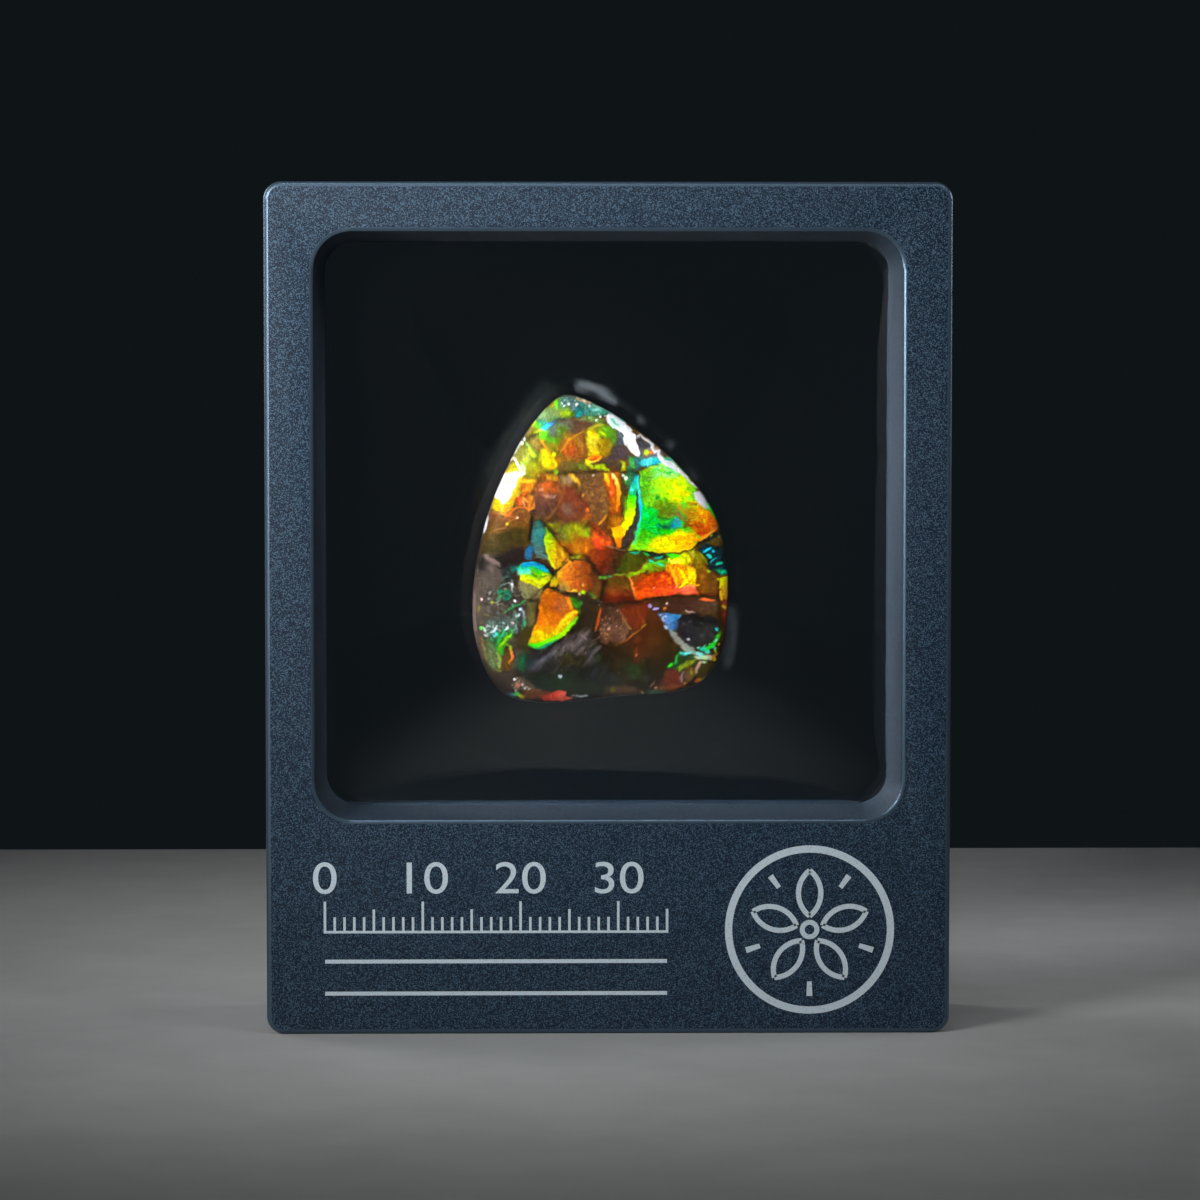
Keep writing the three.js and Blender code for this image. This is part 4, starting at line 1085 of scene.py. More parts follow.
LOWER_RIGHT = (
    ("-1.2,43.7 3,43.9 5,44.2 7,44.4 11.7,44.5 12,42 12.4,38 9.2,34.6 4,34.6 2,35.2 -0.6,38 -1.2,41",
     "241D0E 2C200C 3C240E 463018", 90, 0.6),
    ("-0.5,43.6 1.2,43.5 2.2,41.6 2.2,40.9 2,40.2 1.2,39.8 0,39.8 -1,40.2 -0.9,42",
     "6A4432 7A5440 5A3828 4A3020", 90, 0.6),
    ("-0.1,40.7 0.5,40.7 0.6,40 0,39.9", "8A5A34", 0, 0.8),
    ("1.2,43.6 4.2,43.9 4.4,43.3 3.8,41.9 3.2,41.1 2.6,40.8 2,41.6 1.5,42.5", "7A2E10 6A2812 7A2E10", 0, 0.5),
    ("2.2,39.9 3,40.9 3.9,41.7 4.6,43.4 5.6,42.4 6.6,40.6 6.4,39 4.6,38 3.8,38 2.8,37.6 2.4,38.6",
     "4A220C 542810 4A2A10 32220A", -20, 1.0),
    ("2.2,37.6 3.8,37.8 3.9,36 2.6,35.8 2.1,36.6", "243414 30421A", 0, 1),
    ("5.4,44 8,44.3 11.5,44.3 11.6,43 9.4,42.9 7.8,43.1 6.2,43", "3A2018 42261C 4A3A28", 0, 0.4),
    ("7.2,42.6 8.4,42.8 10.2,42.6 11.5,42 11.7,40.4 10.6,39.4 9.4,39.1 8.4,39.2 7.4,40.6",
     "1E1A1E 28262A 2C2A28 242424", 0, 0.6),
    ("7.6,42.6 8.6,42.9 10.6,42.7 11.4,42 11.2,41.5 8,41.6", "1A1818 161616", 0, 0.8),
    ("5.2,42.8 6.2,42.9 7.7,42.7 7.2,42 6.9,41 6.3,40.9 5.9,41.7 5.4,42.3",
     "6878A8 5A84C0 3888C8 48A0E0", 10, 0.18),
    ("6.9,42 7.4,41.9 7.2,41 6.8,41", "3A6AA0 2A3A58", 0, 0.4),
    ("6.2,37.2 7.5,38.9 9,38.6 9.4,38 7.4,37 5.2,36.8", "26200E 24401C 2A3A18", 0, 0.6),
    ("7.3,37.4 8.4,37.7 9.3,38 9.3,37.5 8,37 7.4,36.8", "6A8A08 7A8A10 88A020", 0, 0.4),
    ("9.1,38.3 10.8,38.5 11.4,38.4 10.6,37.9 9.6,37.8", "A8C0A0 C0D8A8 B0A080", 0, 0.45),
    ("9.4,37.7 11.3,37.8 11.2,36.8 10.4,35.8 9.2,35.7", "3A3010 4A4010 30280C", 0, 0.6),
    ("7.9,36.9 9.1,37.1 9.2,36.4 8.6,35.7 8,35.6", "5A3E28 6A4A20 5A4014", 0, 0.4),
    ("5.2,35.3 6.1,36.8 7.2,37 7.8,36.2 7.9,35.3 6.5,35.1", "5A2A14 6A2A14 6A3018", 0, 0.4),
    ("4.8,34.8 5.6,35.3 6.6,35.5 7.9,35.4 8.2,35 6,34.3", "7A4428 9A4E20 8A4418", 0, 0.34),
    ("4,34.9 5,34.9 6,34.7 6,34.3 4,34.2", "4A6A50 6A9070 4A5A48", 0, 0.4),
)
PLATES = (*GROUND, *FOOT, *TIP, *SHOULDER, *LEFT, *CENTRE, *GREEN_PLATE, *RIGHT, *LOWER_LEFT, *LEFT_FOOT,
          *LOWER_RIGHT)

# Wrinkled foil: an outline, the width and the length of the folds, how dark the painted shade in
# them is, how they turn the hue and, for some, their heading in degrees.
WRINKLES = (
    ("-15,33 14,33 14,67 -15,67", 0.22, 0.9, 0.14, 0.12),
    ("-15,33 14,33 14,67 -15,67", 0.45, 1.6, 0.16, 0.12, 20),
    ("3.6,57.9 7.4,57.4 9.2,55 9.6,53.4 7.6,51 7.4,50 3,49.6 3.6,52.6 3.5,55", 0.30, 1.1, 0.18, 0.25),
    ("8.2,54.4 9.6,54.2 11.2,52.4 9.6,50.8 8,51.8", 0.22, 0.8, 0.20, 0.25),
    ("-13.2,45 -9.4,46.6 -8.4,43.4 -9.8,38.4 -12.8,40.2", 0.35, 0.5, 0.45, 0.5),
    ("-3.2,57.3 -0.4,57.3 0,53 -1.4,52 -2.3,54.4", 0.35, 0.9, 0.16, 0.12),
    ("-4.8,65.1 -1.4,64.8 1.9,62.6 -0.4,62.3 -3.2,63", 0.22, 0.5, 0.35, 0.3),
    ("6,49 8.8,49 8.6,47.6 9.3,45.2 6.4,45.4", 0.30, 1.1, 0.30, 0.25, -20),
    ("9.4,49.6 12.6,50.6 12.6,46.6 10.6,47", 0.22, 1.2, 0.45, 0.3, 120),
    ("-8.4,36.5 -7.6,39.2 -4,41.2 -1,41.5 0.5,38 0.4,35 -4,36", 0.40, 1.7, 0.48, 0.12, -40),
    ("2.2,41.6 -0.4,43.4 -1,40.2 2,39.9", 0.25, 0.4, 0.30, 0.2),
)

# Streaks: a path, the colours along it, the width and, for some, the softness of the edge in mm.
STREAKS = (
    ("-5.3,64.9 -5.35,64.3 -5.1,64", "60E010", 0.3),
    ("-7.2,63 -6.9,63.5 -6.4,64", "9AC8A8 8AB868 90B030", 0.35),
    ("-5,65.2 -4.4,65.4 -3.6,65.3 -3,65.05", "7A6A30 A89078 8A6040 907830", 0.2),
    ("-3.1,64.9 -2.4,64.8 -1.7,64.4", "B0A060 C08850 A07858", 0.4),
    ("-1.5,64.4 -0.6,64.1 0.4,63.6 1.1,63.1", "A0F0C0", 0.3),
    ("1.1,63 1.8,62.5", "10D8B8", 0.3),
    ("-1.4,63.9 -0.9,63.9 -0.6,63.6", "B0E8E0 40B8A0", 0.3),
    ("-0.7,63.4 -0.3,63.7", "3A8A60", 0.2),
    ("-7,61.7 -6.5,62 -6,62.3 -5.3,62.6", "10D8C8 18B8F0 3078C0 405A60", 0.45),
    ("-8.1,62 -7.5,62.7", "E0E818", 0.25),
    ("-7.6,61.4 -6.6,61.8", "C8F000", 0.2),
    ("-6.9,60.8 -6.3,59.9 -5.9,59.3", "E0A010 C88010", 0.25),
    ("-8.5,60.5 -8,59.9 -7.6,59.3 -7.25,58.9", "90D8A0 78E050 60D810 98C848", 0.2),
    ("-8.1,59.9 -7.5,59", "C8E808", 0.3),
    ("-4.9,59.3 -3.8,60.9 -2.4,61.7", "D08A18", 0.12),
    ("-3.3,61.2 -2.6,60.3 -2.6,59.4", "A07830", 0.12),
    ("-0.8,61.6 -0.1,61.1", "D0F010", 0.15),
    ("-2.1,61.7 -1.2,62.2 -0.4,62.3", "A8A020", 0.3),
    ("-2.2,58.4 -1.9,58.9 -1.2,59.1 -0.7,59 -1.1,58.7 -1.9,58.4",
     "FFE020 FF9010 F06010 FF8A18 FFD030 FFE040", 0.28),
    ("-1.9,58.65 -1.1,58.85", "D04008", 0.2),
    ("5.9,58.9 6.6,58.85 7.2,58.3 8,57.6 8.6,57", "20B060 C0F8D8 20B060 28B868", 0.3),
    ("-9.2,53.8 -8.6,53.8 -8.1,53.45 -7.6,53.7 -7.5,54.3", "C86A20 FF9020", 0.18),
    ("-10.9,53.1 -10.4,52.9 -9.8,53.5 -9.2,53.8", "E87A10 D8601C C86A20", 0.25),
    ("-12.3,50.9 -11.7,51.4 -10.6,51.6 -10.4,51.9 -9.7,52.6 -9.1,53.5", "A86A38", 0.1),
    ("-7.8,52.8 -7.9,51.6 -8.1,50.4", "2A1C10", 0.4),
    ("-8.9,56.4 -7.4,56.5", "FFD818", 0.25),
    ("-8.8,55.9 -7.6,56.3", "C86A10", 0.12),
    ("-8.9,55.3 -8.1,55.9", "FFC020", 0.12),
    ("-8.8,54.7 -8.5,53.9", "F0A070", 0.25),
    ("-8.9,58.3 -8.6,57.5", "A8D0A0", 0.25),
    ("-8.4,57 -7.5,56.8", "7A7A10", 0.3),
    ("-6.8,54.95 -6.2,54.9 -5.7,54.8 -5.4,55", "B89088", 0.12),
    ("-7.2,55.6 -6.7,55.7", "D0A090", 0.12),
    ("-4.3,55.9 -4.8,54.7 -5.1,54 -5.8,53.1 -6.6,52.3", "7A4420 8A5A20", 0.14),
    ("-4.1,57.1 -3.7,57.1 -3.3,56.7 -3,56.3 -2.85,56", "F8B818 FFC820 FFB010 F0A818", 0.28),
    ("-3.6,56.6 -3.2,56.4", "E8C840", 0.15),
    ("2,57.4 3,57.4", "1E5A40", 0.1),
    ("2.1,56 3,57.2", "1E5A40", 0.1),
    ("2.5,55.7 2.7,55.5", "60F0E0", 0.2),
    ("1.8,54.9 1.9,53.8 1.7,52.9", "58800C", 0.3),
    ("-0.1,53 -0.6,52.4 -1,51.9", "D88A18", 0.2),
    ("3.1,57.2 3.2,56.2 3.3,55.3 3.4,54.2 3.45,53.2 3.4,52.4",
     "18D0D0 20D0C0 40D8C0 18B8D0 1898C8 1890A8", 0.3),
    ("4,57.8 4.6,58.2 5.6,58.1", "205A50", 0.12),
    ("6.1,57.9 7.2,57.4", "38C050", 0.2),
    ("4.2,57.4 5.2,57.7 6.2,57.3 7.2,57.5", "20B030", 0.15),
    ("7.05,56.6 7.1,55", "F0C000", 0.12),
    ("5.1,52.7 6,52.5 6.6,52.6 7,52.5", "105A20", 0.12),
    ("7.1,54 7.8,53.4 8.5,52.8", "B08A10 B07810 986010", 0.5, 0.8),
    ("3.45,52.8 3.2,51.7 2.9,50.7 2.7,50", "18B8B0 20C0A0 20C890 30D0B0", 0.25),
    ("-0.35,57.3 0,56.6 0.15,56", "FFE020 FFB010 F08010", 0.3, 0.14),
    ("0.45,57.2 0.8,56.8 1.05,56 1.2,55.2 1.1,54.4 0.95,53.4",
     "FFF0A0 FFD850 FFA820 FF9010 F08008 E07808", 0.4, 0.16),
    ("0.25,57.2 0.3,56.6 0.5,56", "B02010 D84010 E85010", 0.2, 0.12),
    ("0.5,56 0.6,55.4 0.4,55", "E85818", 0.3),
    ("7.5,45.4 8.2,46.2 8.9,46.9", "FFE000 FFF020", 0.3),
    ("7.2,45.4 7.1,46.4 6.4,47.8", "FFA010", 0.2),
    ("7.6,45.4 8.6,45.6 9.2,45.4", "FF8040", 0.2),
    ("7.6,46.6 7.75,47.6", "C84808", 0.14),
    ("8.5,45.9 9,46.8", "D88808", 0.12),
    ("6.9,46.3 6.3,47.2", "D85808", 0.14),
    ("6.4,47.9 7.4,48.4 8.4,48.4", "A8B808", 0.18),
    ("6.3,48.4 7,48.1 7.6,48.3", "F8F840", 0.2),
    ("7.6,48.9 8.1,48.5 8.4,47.8", "6A8A10", 0.14),
    ("5.2,47.95 5.8,47.75", "20C890", 0.16),
    ("6.2,48.8 6.9,48.6 7.6,48.8", "20C018", 0.2),
    ("4.2,47.9 5,48.05 5.9,48.3", "50C020", 0.2),
    ("0.1,46.6 0.5,46.55", "48A870", 0.16),
    ("-0.9,46.5 -0.4,46.6 0,46.4", "60A820", 0.16),
    ("-8.9,55.1 -8.4,54.8 -8.3,54", "C83808", 0.14),
    ("-8.7,54.8 -8.2,54.3", "FFD040", 0.16),
    ("-3.5,43.9 -3.2,43.4", "38A818", 0.2),
    ("-2.8,44.1 -2.7,43.7", "3A9A50", 0.18),
    ("-3,43.1 -2.8,42.8", "58B010", 0.16),
    ("9.3,38.7 9.9,38.5", "50F0D0", 0.2),
    ("9.8,39.1 10.4,38.85", "20D8B0", 0.25),
    ("9.6,38.2 10.4,37.95", "A0E898", 0.25),
    ("10.1,38.75 10.6,38.65", "58D8A0", 0.16),
    ("7,53.2 7.5,52.8 7.9,52.3", "6A5A28", 0.45),
    ("9.2,50.2 10.2,50.8 11.4,51.5", "F06010 F88018 F06820", 0.25),
    ("4.2,49.35 6,49.15 7.5,49.25 8.6,49.6 9.3,50.05", "D8E810 FFD818 FFB810", 0.2),
    ("-12.6,48.9 -12.2,48.4 -11.5,48 -11.1,47.6", "7A6460", 0.4),
    ("-6.35,49.9 -6.1,48.7 -5.5,47.4", "B8F010", 0.15),
    ("-7.9,46.9 -7.3,46.6", "2A7A18", 0.12),
    ("-7,46.5 -6.2,46.7", "2A7A18", 0.12),
    ("-8.5,44.1 -9.6,43.5 -10.7,42.8", "38A850", 0.2),
    ("-4.9,48.3 -4.2,48.4 -3.9,48.2 -4.4,47.7 -4.9,47.2", "FFA020", 0.25),
    ("-2.7,45.1 -2.3,44.8", "98F010", 0.3),
    ("-3.7,45.1 -3.1,45.1", "E8D820", 0.2),
    ("-1.9,44.9 -1.2,44.5", "4A7A20", 0.2),
    ("-1.7,44.45 -1.2,44.3", "98A830", 0.15),
    ("-1.1,44.2 -0.6,44 -0.9,43.5", "9A8068", 0.14),
    ("-4.1,44.4 -3.9,43.8 -3.7,43.3", "F89018", 0.3),
    ("-3.1,42.9 -3.6,42.9 -4.6,42 -5.2,41.3", "FFD818", 0.4),
    ("-8.2,39.5 -7.4,39.4 -6.6,39.65 -5.6,40.1 -4.6,40.6 -4,41.3 -3.1,42.4",
     "20E020 40F000 70F000 90F010 A0F000 80E010 60D818", 0.5),
    ("-7.7,39.2 -6.9,39.15 -6,39.6 -5.2,40", "10C050 189878 108868", 0.22),
    ("-0.7,43.3 -0.9,42.6 -1.1,41.4 -1.2,40.9", "C85A20 A84014 A05018", 0.25),
    ("0.1,49.8 0.9,49.6 1.4,49.4 1.8,49.3", "B07A60", 0.14),
    ("2.3,49.1 2.7,49 3.3,49.1", "18C088", 0.2),
    ("3.7,49 4.4,48.8", "10C040", 0.25),
    ("4.3,48.35 4.8,48.2", "10C8A0", 0.22),
    ("4.9,48.5 5.8,48.7", "10A888", 0.22),
    ("5,48.1 5.6,47.8", "20D898", 0.15),
    ("6.1,48.9 7.4,48.65", "30D010", 0.3),
    ("0.7,46.75 1.4,46.8 2,46.85", "6AA818", 0.14),
    ("2.25,46.5 2.7,45.5 3,44.3", "FFA840 FF8830", 0.18),
    ("7.6,47.3 7.9,46.4", "FFC800", 0.35),
    ("6.6,47.3 7.2,46", "FFB010", 0.2),
    ("8.1,47 8.4,46.1", "D86808", 0.14),
    ("7.1,47.5 7.3,46.4", "E86A08", 0.14),
    ("4.7,45.3 4.9,45.5", "FFA070", 0.14),
    ("9.1,45.6 9.6,45.7", "F09020", 0.2),
    ("9.5,49.1 9.9,48.5 10.4,47.8", "8AB018", 0.2),
    ("10.3,47.2 10.6,46.9", "80A818", 0.25),
    ("9.9,49.1 10.7,49.6", "10B0E0", 0.25),
    ("10.9,49.4 11.1,49.1", "1890B0", 0.2),
    ("10.3,48.8 10.8,48.5", "18A090", 0.4),
    ("10.7,47.9 11.1,48.4 11.3,48.5", "20A8B8", 0.15),
    ("11.2,47.8 11.9,48", "18A078", 0.25),
    ("11.7,45 11.9,44.2", "F8A010", 0.35),
    ("12,43.6 12.35,43.1", "F0C020", 0.18),
    ("9.7,44.2 10.4,44.2 11.1,44.1", "F05818 FF6828 E04818", 0.22),
    ("4.7,43.2 5.4,43.4", "A8A0F0", 0.25),
    ("8,43.1 8.5,42.9 9,42.85", "B8A098", 0.12),
    ("5.9,41.5 6.2,41.1", "A0C0E0", 0.3),
    ("6.5,41 7,40.4 7.5,39.8 8.1,39.2 8.8,38.8 9.4,38.4", "7E8884 707068 787C72 7E8A7A 6A7A68", 0.72),
    ("1.2,43.4 1.8,42 2.4,41", "8A4828 988040", 0.1),
    ("0.6,39.3 1.4,39.8 2,40 2.6,40.5 3.2,41 3.9,41.7", "5A3418 7A441C A06028 8A4A20 B8A020", 0.13),
    ("2.9,38.5 3.1,39.2", "8A4420", 0.12),
    ("-4.9,38.4 -4.4,39.3 -4,39.9", "6E6260", 0.2, 0.3),
    ("-7.8,36.9 -6.6,38 -5.4,38.9", "4E4C54 60606C 545058", 0.5, 0.5),
    ("-3.6,39.1 -2.7,40.1 -1.9,40.9", "5A5052 6C5E5E", 0.35, 0.4),
    ("-2.4,37.4 -1.5,38.6 -0.7,39.4", "443E42 565054", 0.4, 0.4),
    ("-2.7,40.5 -2.2,40", "8A7878", 0.15),
    ("-10.4,41.2 -10.9,40.6 -11.3,40", "28A860", 0.25),
    ("-10,41.2 -9.8,40.8 -10.2,40.3", "60B860", 0.2),
    ("-9.9,40.6 -10.4,40.2 -10.9,39.7 -11.3,39.2", "90E808 A0F000 80D808", 0.28),
    ("-11.9,39.9 -12.2,40.3", "38B080", 0.2),
    ("-11.2,40.1 -11.5,39.5", "30D048", 0.2),
    ("-10.6,40.9 -10.9,40.4", "60E0C0", 0.14),
    ("-9.4,41.2 -9.4,40.6", "5A6E78", 0.16),
    ("-8.75,42.2 -8.65,41.6", "38A880", 0.2),
    ("-8.9,41.6 -8.8,41.1", "5AB8A0", 0.12),
    ("-10.6,39.6 -10.1,39.4 -10.1,39", "98C818", 0.16),
    ("-12.2,39.6 -11.9,39.1", "5A9A58", 0.2),
    ("-12.8,42.6 -12.2,42.5", "7A7A30", 0.14),
    ("-11.4,45.2 -11.1,44.6 -11.4,44.1", "409A68", 0.2),
    ("-10.9,46.4 -10.2,46.6", "4A6A60", 0.16),
    ("-11.1,45.6 -10.3,45.9", "8A9A98", 0.1),
    ("-10.8,43.4 -10.2,43.6", "6A5A50", 0.14),
    ("-9.6,43.5 -9.9,43.6", "40C890", 0.2),
    ("-6,38.3 -5.3,39", "5E585A", 0.3),
    ("-7.2,37 -6.4,37.8 -5.8,38.6", "4A4648", 0.25),
    ("7.5,38.7 8.1,38.6 8.8,38.7", "30B890 50D8E0 60C0C0", 0.3),
    ("7.4,38.6 7.2,38.2 7.1,37.5", "208A30", 0.3),
    ("6.3,37.2 6.9,37.45", "20E010", 0.35),
    ("9.7,37.8 9.4,37.2 9.2,36.4", "A88878 987868 8A7A68", 0.35),
    ("9.6,39.1 10.2,39 10.5,38.7", "10A890 20D8C0", 0.4),
    ("9.3,38.6 9.9,38.35", "70F0D0", 0.35),
    ("10,38.9 10.5,39.2 11.1,39.6 11.3,40.1 11.7,40.5", "108A60 18B018 18A818 109A20 3AA010", 0.45),
    ("11.2,41.2 11.5,40.9", "20A8A0", 0.3),
    ("11.2,39.1 11.3,38.6", "A8C010", 0.2),
    ("11,38.4 11.6,38.5", "B88A50", 0.12),
    ("11,38.3 11.2,37.8", "FF5008 FFC800", 0.35),
    ("9.9,37.65 10.3,37.6", "A0F0A0", 0.25),
    ("7.9,36.7 7.7,36.1 7.8,35.6", "7A6068", 0.3),
    ("9.1,35.6 9.5,35.75 10.1,35.85", "FF4010 FFA000 E8E020", 0.3),
    ("4.4,35 4.9,35.7", "7A5A4C", 0.25),
    ("-14,46.2 -13.95,43 -13.8,40.4 -13.5,39", "7A6660 8A7068 94807A 7A6860", 0.5),
    ("-13.3,43.6 -13.35,42.9", "8A8A30", 0.2),
    ("-13,40.2 -12.9,39.2 -12.6,37.8", "C08040 A89040 8A7A40", 0.2),
    ("-11.5,38.7 -11.15,37.9 -11.2,37", "A8C040", 0.28),
    ("-11.6,36.75 -11,36.75", "B8C038", 0.14),
    ("-9.95,39.4 -9.95,38.9 -9.8,38.3 -9.9,38 -10.2,37.7 -10.1,37.5",
     "90D010 F8B010 FF8050 FF9020 F8B010", 0.28),
    ("-9.1,43.3 -8.7,43 -8.6,42.2", "C8D8E0", 0.2),
    ("-8.6,42.1 -8.5,41.4", "40A880", 0.25),
    ("-10.2,34.25 -9.7,34.25 -9.35,34.35 -9,34.1 -8.6,34", "305898 40B0A0 58E040 C8E020 D0A010", 0.45),
    ("-7,34.6 -5.8,34.5", "5A2E18", 0.3),
)

# Cracks: a path and the width in mm. The open ones also have the colour of what lies in them.
CRACKS = (
    ("-8.6,60.8 -7.9,61.1 -7.4,61.3", 0.10),
    ("-5.3,62.7 -4.4,63 -3.8,63.2 -3.4,63.5", 0.12),
    ("-6.3,57.45 -5,57.2 -3.4,57.4 -2.4,57.45 -1,57.5 0,57.4", 0.11),
    ("0.6,57.5 2.2,57.5 3.1,57.4 4,57.8", 0.08),
    ("-6.9,52.4 -5.9,51.2 -4.9,50 -4.3,49.4 -3.9,48.9 -3.7,48.75", 0.10),
    ("-3.7,48.75 -2.4,48.9 -1.9,48.2 -1.5,47.7 -1,47.2 -0.7,46.7", 0.09),
    ("-7.3,48.3 -6.4,47.9 -5.6,46.6", 0.08),
    ("-5.5,46.8 -4.9,47.6 -4.2,48.5", 0.08),
    ("-7.6,53.4 -7.7,52.2 -8,50.4", 0.08),
    ("9.3,49.95 10,50.2 11.6,51.4", 0.10),
    ("-0.2,49.7 1,49.5 2.1,49.2 4,49.15 6,48.95 7.5,49.05 8.7,49.4 9.4,49.9", 0.10),
    ("-1.2,44 -0.5,43.7 1,43.7 2.9,44 4,44.1 5.5,44.35 7.5,44.55 9.3,44.55 11.4,44.5", 0.12),
    ("-0.35,46.2 -0.5,45 -0.6,44", 0.10),
    ("9.2,49.4 9.8,48.8 10.5,47.6", 0.08),
    ("11.55,46.6 11.6,45.2 11.6,43 11.8,41.4", 0.10),
    ("-1.9,51.9 -1.2,51.6 -0.6,50.9", 0.06),
)
OPEN_CRACKS = (
    ("-5.6,46.6 -6.2,45.9 -7.1,45 -7.9,44.3", 0.12, "5A4020"),
    ("-5.8,45.2 -5.2,45 -4,44.7 -3,44.4 -2,44.2 -1.2,44 -0.6,43.9", 0.18, "4A4038"),
)

# Painted highlights, white gloss put into the face's colour: outlines, then paths with a width.
PAINTED_HIGHLIGHTS = (
    ("-0.1,63.1 0.3,63.5 1.2,63 1.9,62.4 2.7,61.8 2.5,61.6 3,61.1 2.9,60.6 3.3,60 3.4,59.1 3.2,59 2.7,59.3"
     " 1.9,60.1 1.6,60.6 1.7,61.3 1,61.7 0.5,62 0.1,62.5", "F0F0FA", 0, 0.08),
    ("-11.9,54.9 -11.5,56 -11.1,57.2 -10.6,57.4 -9.9,57.4 -9.5,57.5 -8.7,57.3 -8.7,57.1 -9.1,56.9 -9.5,56.1"
     " -9.9,55.2 -10.2,54.6 -10.8,54 -11.1,54.1 -11.3,54.6", "FDFFFA FBFFF0 E4F0C8", 60, 0.1),
    ("5.2,59.3 5.6,59.2 6.1,58.7 6.9,58.3 7.7,57.6 8.3,57 8.9,56.3 9.4,55.8 9.2,55.7 8.6,56.2 8,56.8"
     " 7.2,57.4 6.4,57.8 5.9,58.2 5.2,59", "F8F8FF", 0, 0.1),
    ("9,55.4 9.5,55.5 9.8,55.2 10.1,54.9 10.35,54.4 10.3,54 10.6,53.6 10.2,53.6 9.6,54 9.2,54.5 8.95,55",
     "F0F0F8 C8C8D8", -60, 0.1),
)
PAINTED_HIGHLIGHT_STREAKS = (
    ("3.1,61 3.5,61.2 3.9,60.8 4.2,60.7 4.5,60.3 4.7,60.3 4.6,59.8 4.9,59.55 5.4,59.7 5.25,59.3 5.5,58.95"
     " 5.9,58.5", "F8F8FF", 0.28),
    ("0.3,62.9 1.2,62.1", "58B898", 0.28),
    ("0.2,62.7 0.8,62", "A8F0C0", 0.14),
    ("-9,60.6 -9.2,60 -9.6,59.3", "F0F4F0", 0.2),
    ("-10.3,58.3 -9.9,58.9 -9.6,58.7 -9.3,58.1 -8.9,57.5 -8.5,57.2", "F0F0E0 FFFFF4", 0.22),
    ("-10.7,57.4 -10.2,57.3", "E88040", 0.15),
    ("-10.8,56.6 -9.6,56.2", "E8FFC8", 0.3),
    ("-12.35,53.4 -12.5,52.6 -12.6,52 -12.85,51.1", "A0A0B8 D8E0F0 E0F8FF F8FFFF", 0.3),
    ("-9.85,46.2 -9.9,45.1", "A8B8B8", 0.12),
    ("-12.1,40.8 -11.6,41.1 -11.4,41.5", "C8D8E0 E8F0F8", 0.22),
    ("-10.55,41 -10.2,41.35", "E8F8FF", 0.2),
    ("-12.9,41.3 -12.6,40.8", "D8E4E4", 0.16),
    ("-12.6,41.5 -12.2,41.3", "B8D0C8", 0.14),
    ("-12.8,40.6 -12.4,40.4", "C8D0D8", 0.14),
    ("-11.9,40.3 -11.6,40.5", "90C8D0", 0.14),
    ("-10.9,41.9 -10.6,41.6", "A8B8C0", 0.12),
    ("-9.95,41.9 -9.7,41.7", "E0C8C0", 0.12),
    ("-8.9,43.3 -9.1,43.1", "C8E0F0", 0.22),
    ("-3.8,34.15 -3.2,34.2", "B09890", 0.15),
    ("-3.3,34.25 -2.6,34.15 -2.1,34.2", "D8E8F0", 0.22),
)
# Spots: places, the colour and the radius in mm. The white spots at the tip are painted glints.
DOTS = (
    ("-4.05,64.45 -3.15,64.35 -3,65.1 -1.75,64.6 -1.8,64.2 -1.1,62.7", "F0F4F0", 0.13),
    ("-2.35,64.85", "F4F6F4", 0.2),
    ("-8.6,60.8 -8.9,60.4 -9.95,45.8 -9.6,44.05 8.4,40 -9.6,35.9 -8.6,35 1.6,57.1", "E8ECEC", 0.13),
    ("-5.5,59.3", "E0F000", 0.22),
    ("-10.25,56.4", "C8F028", 0.13),
    ("-10.3,52", "B8B010", 0.18),
    ("-9.3,52.75 6.2,43.75", "E8C8B8", 0.13),
    ("-5.3,57.4", "68A018", 0.25),
    ("1.85,56.8", "F4FFF0", 0.2),
    ("-2.05,53.55", "F06A20", 0.18),
    ("-2.5,55", "D89030", 0.12),
    ("0.35,55.3", "F09850", 0.12),
    ("-1.5,57.1", "F0E8D8", 0.1),
    ("4,59.4", "C8E020", 0.28),
    ("4.45,59.4", "D87830", 0.22),
    ("5.1,59.9", "C89050", 0.22),
    ("5.7,57.6", "78D800", 0.22),
    ("5.2,54.8", "188A28", 0.2),
    ("9.2,54.05 9.3,55.65", "7A7440", 0.13),
    ("7.2,52.4", "5A7890", 0.18),
    ("10.1,52.3", "F8C000", 0.18),
    ("10.8,50.8 11.6,50.7", "98A030", 0.15),
    ("-0.7,46.5 -0.3,46.45", "58A030", 0.14),
    ("5.75,46.6", "FF8818", 0.15),
    ("4.4,43.55", "A890D8", 0.2),
    ("6,43.3", "B06A20", 0.18),
    ("-13.1,44.2", "E8C8C8", 0.14),
    ("-12.2,44.9 -12.3,44.4 -11.3,43.7 -11.5,43.9", "7A7A74", 0.15),
    ("-11.9,43.9", "8A9030", 0.2),
    ("-9.2,42.6", "C0D8E8", 0.16),
    ("-13.1,41.25", "48C840", 0.18),
    ("-11.5,40.65", "28C8A8", 0.2),
    ("-11.9,40.5", "58A0B0", 0.12),
    ("-11.6,40.9", "20B8E0", 0.12),
    ("-2.9,44.8", "FFE090", 0.13),
    ("-2.6,45.7", "F0A050", 0.15),
    ("0.1,41.2", "D0A090", 0.14),
    ("3.05,38.4", "D07848", 0.14),
    ("-9.3,35.3", "B06A50", 0.25),
    ("-4.85,36.2", "B0C0C8", 0.18),
    ("0.6,34.7", "6A6010", 0.28),
    ("3.7,34.4", "C8A050", 0.18),
    ("5.1,35", "E09070", 0.16),
    ("8.1,35.5", "F8B030", 0.15),
    ("7.5,37.1 8.15,37.35 8.7,36.6", "98B018", 0.14),
    ("11.75,40.6", "4AA010", 0.2),
)
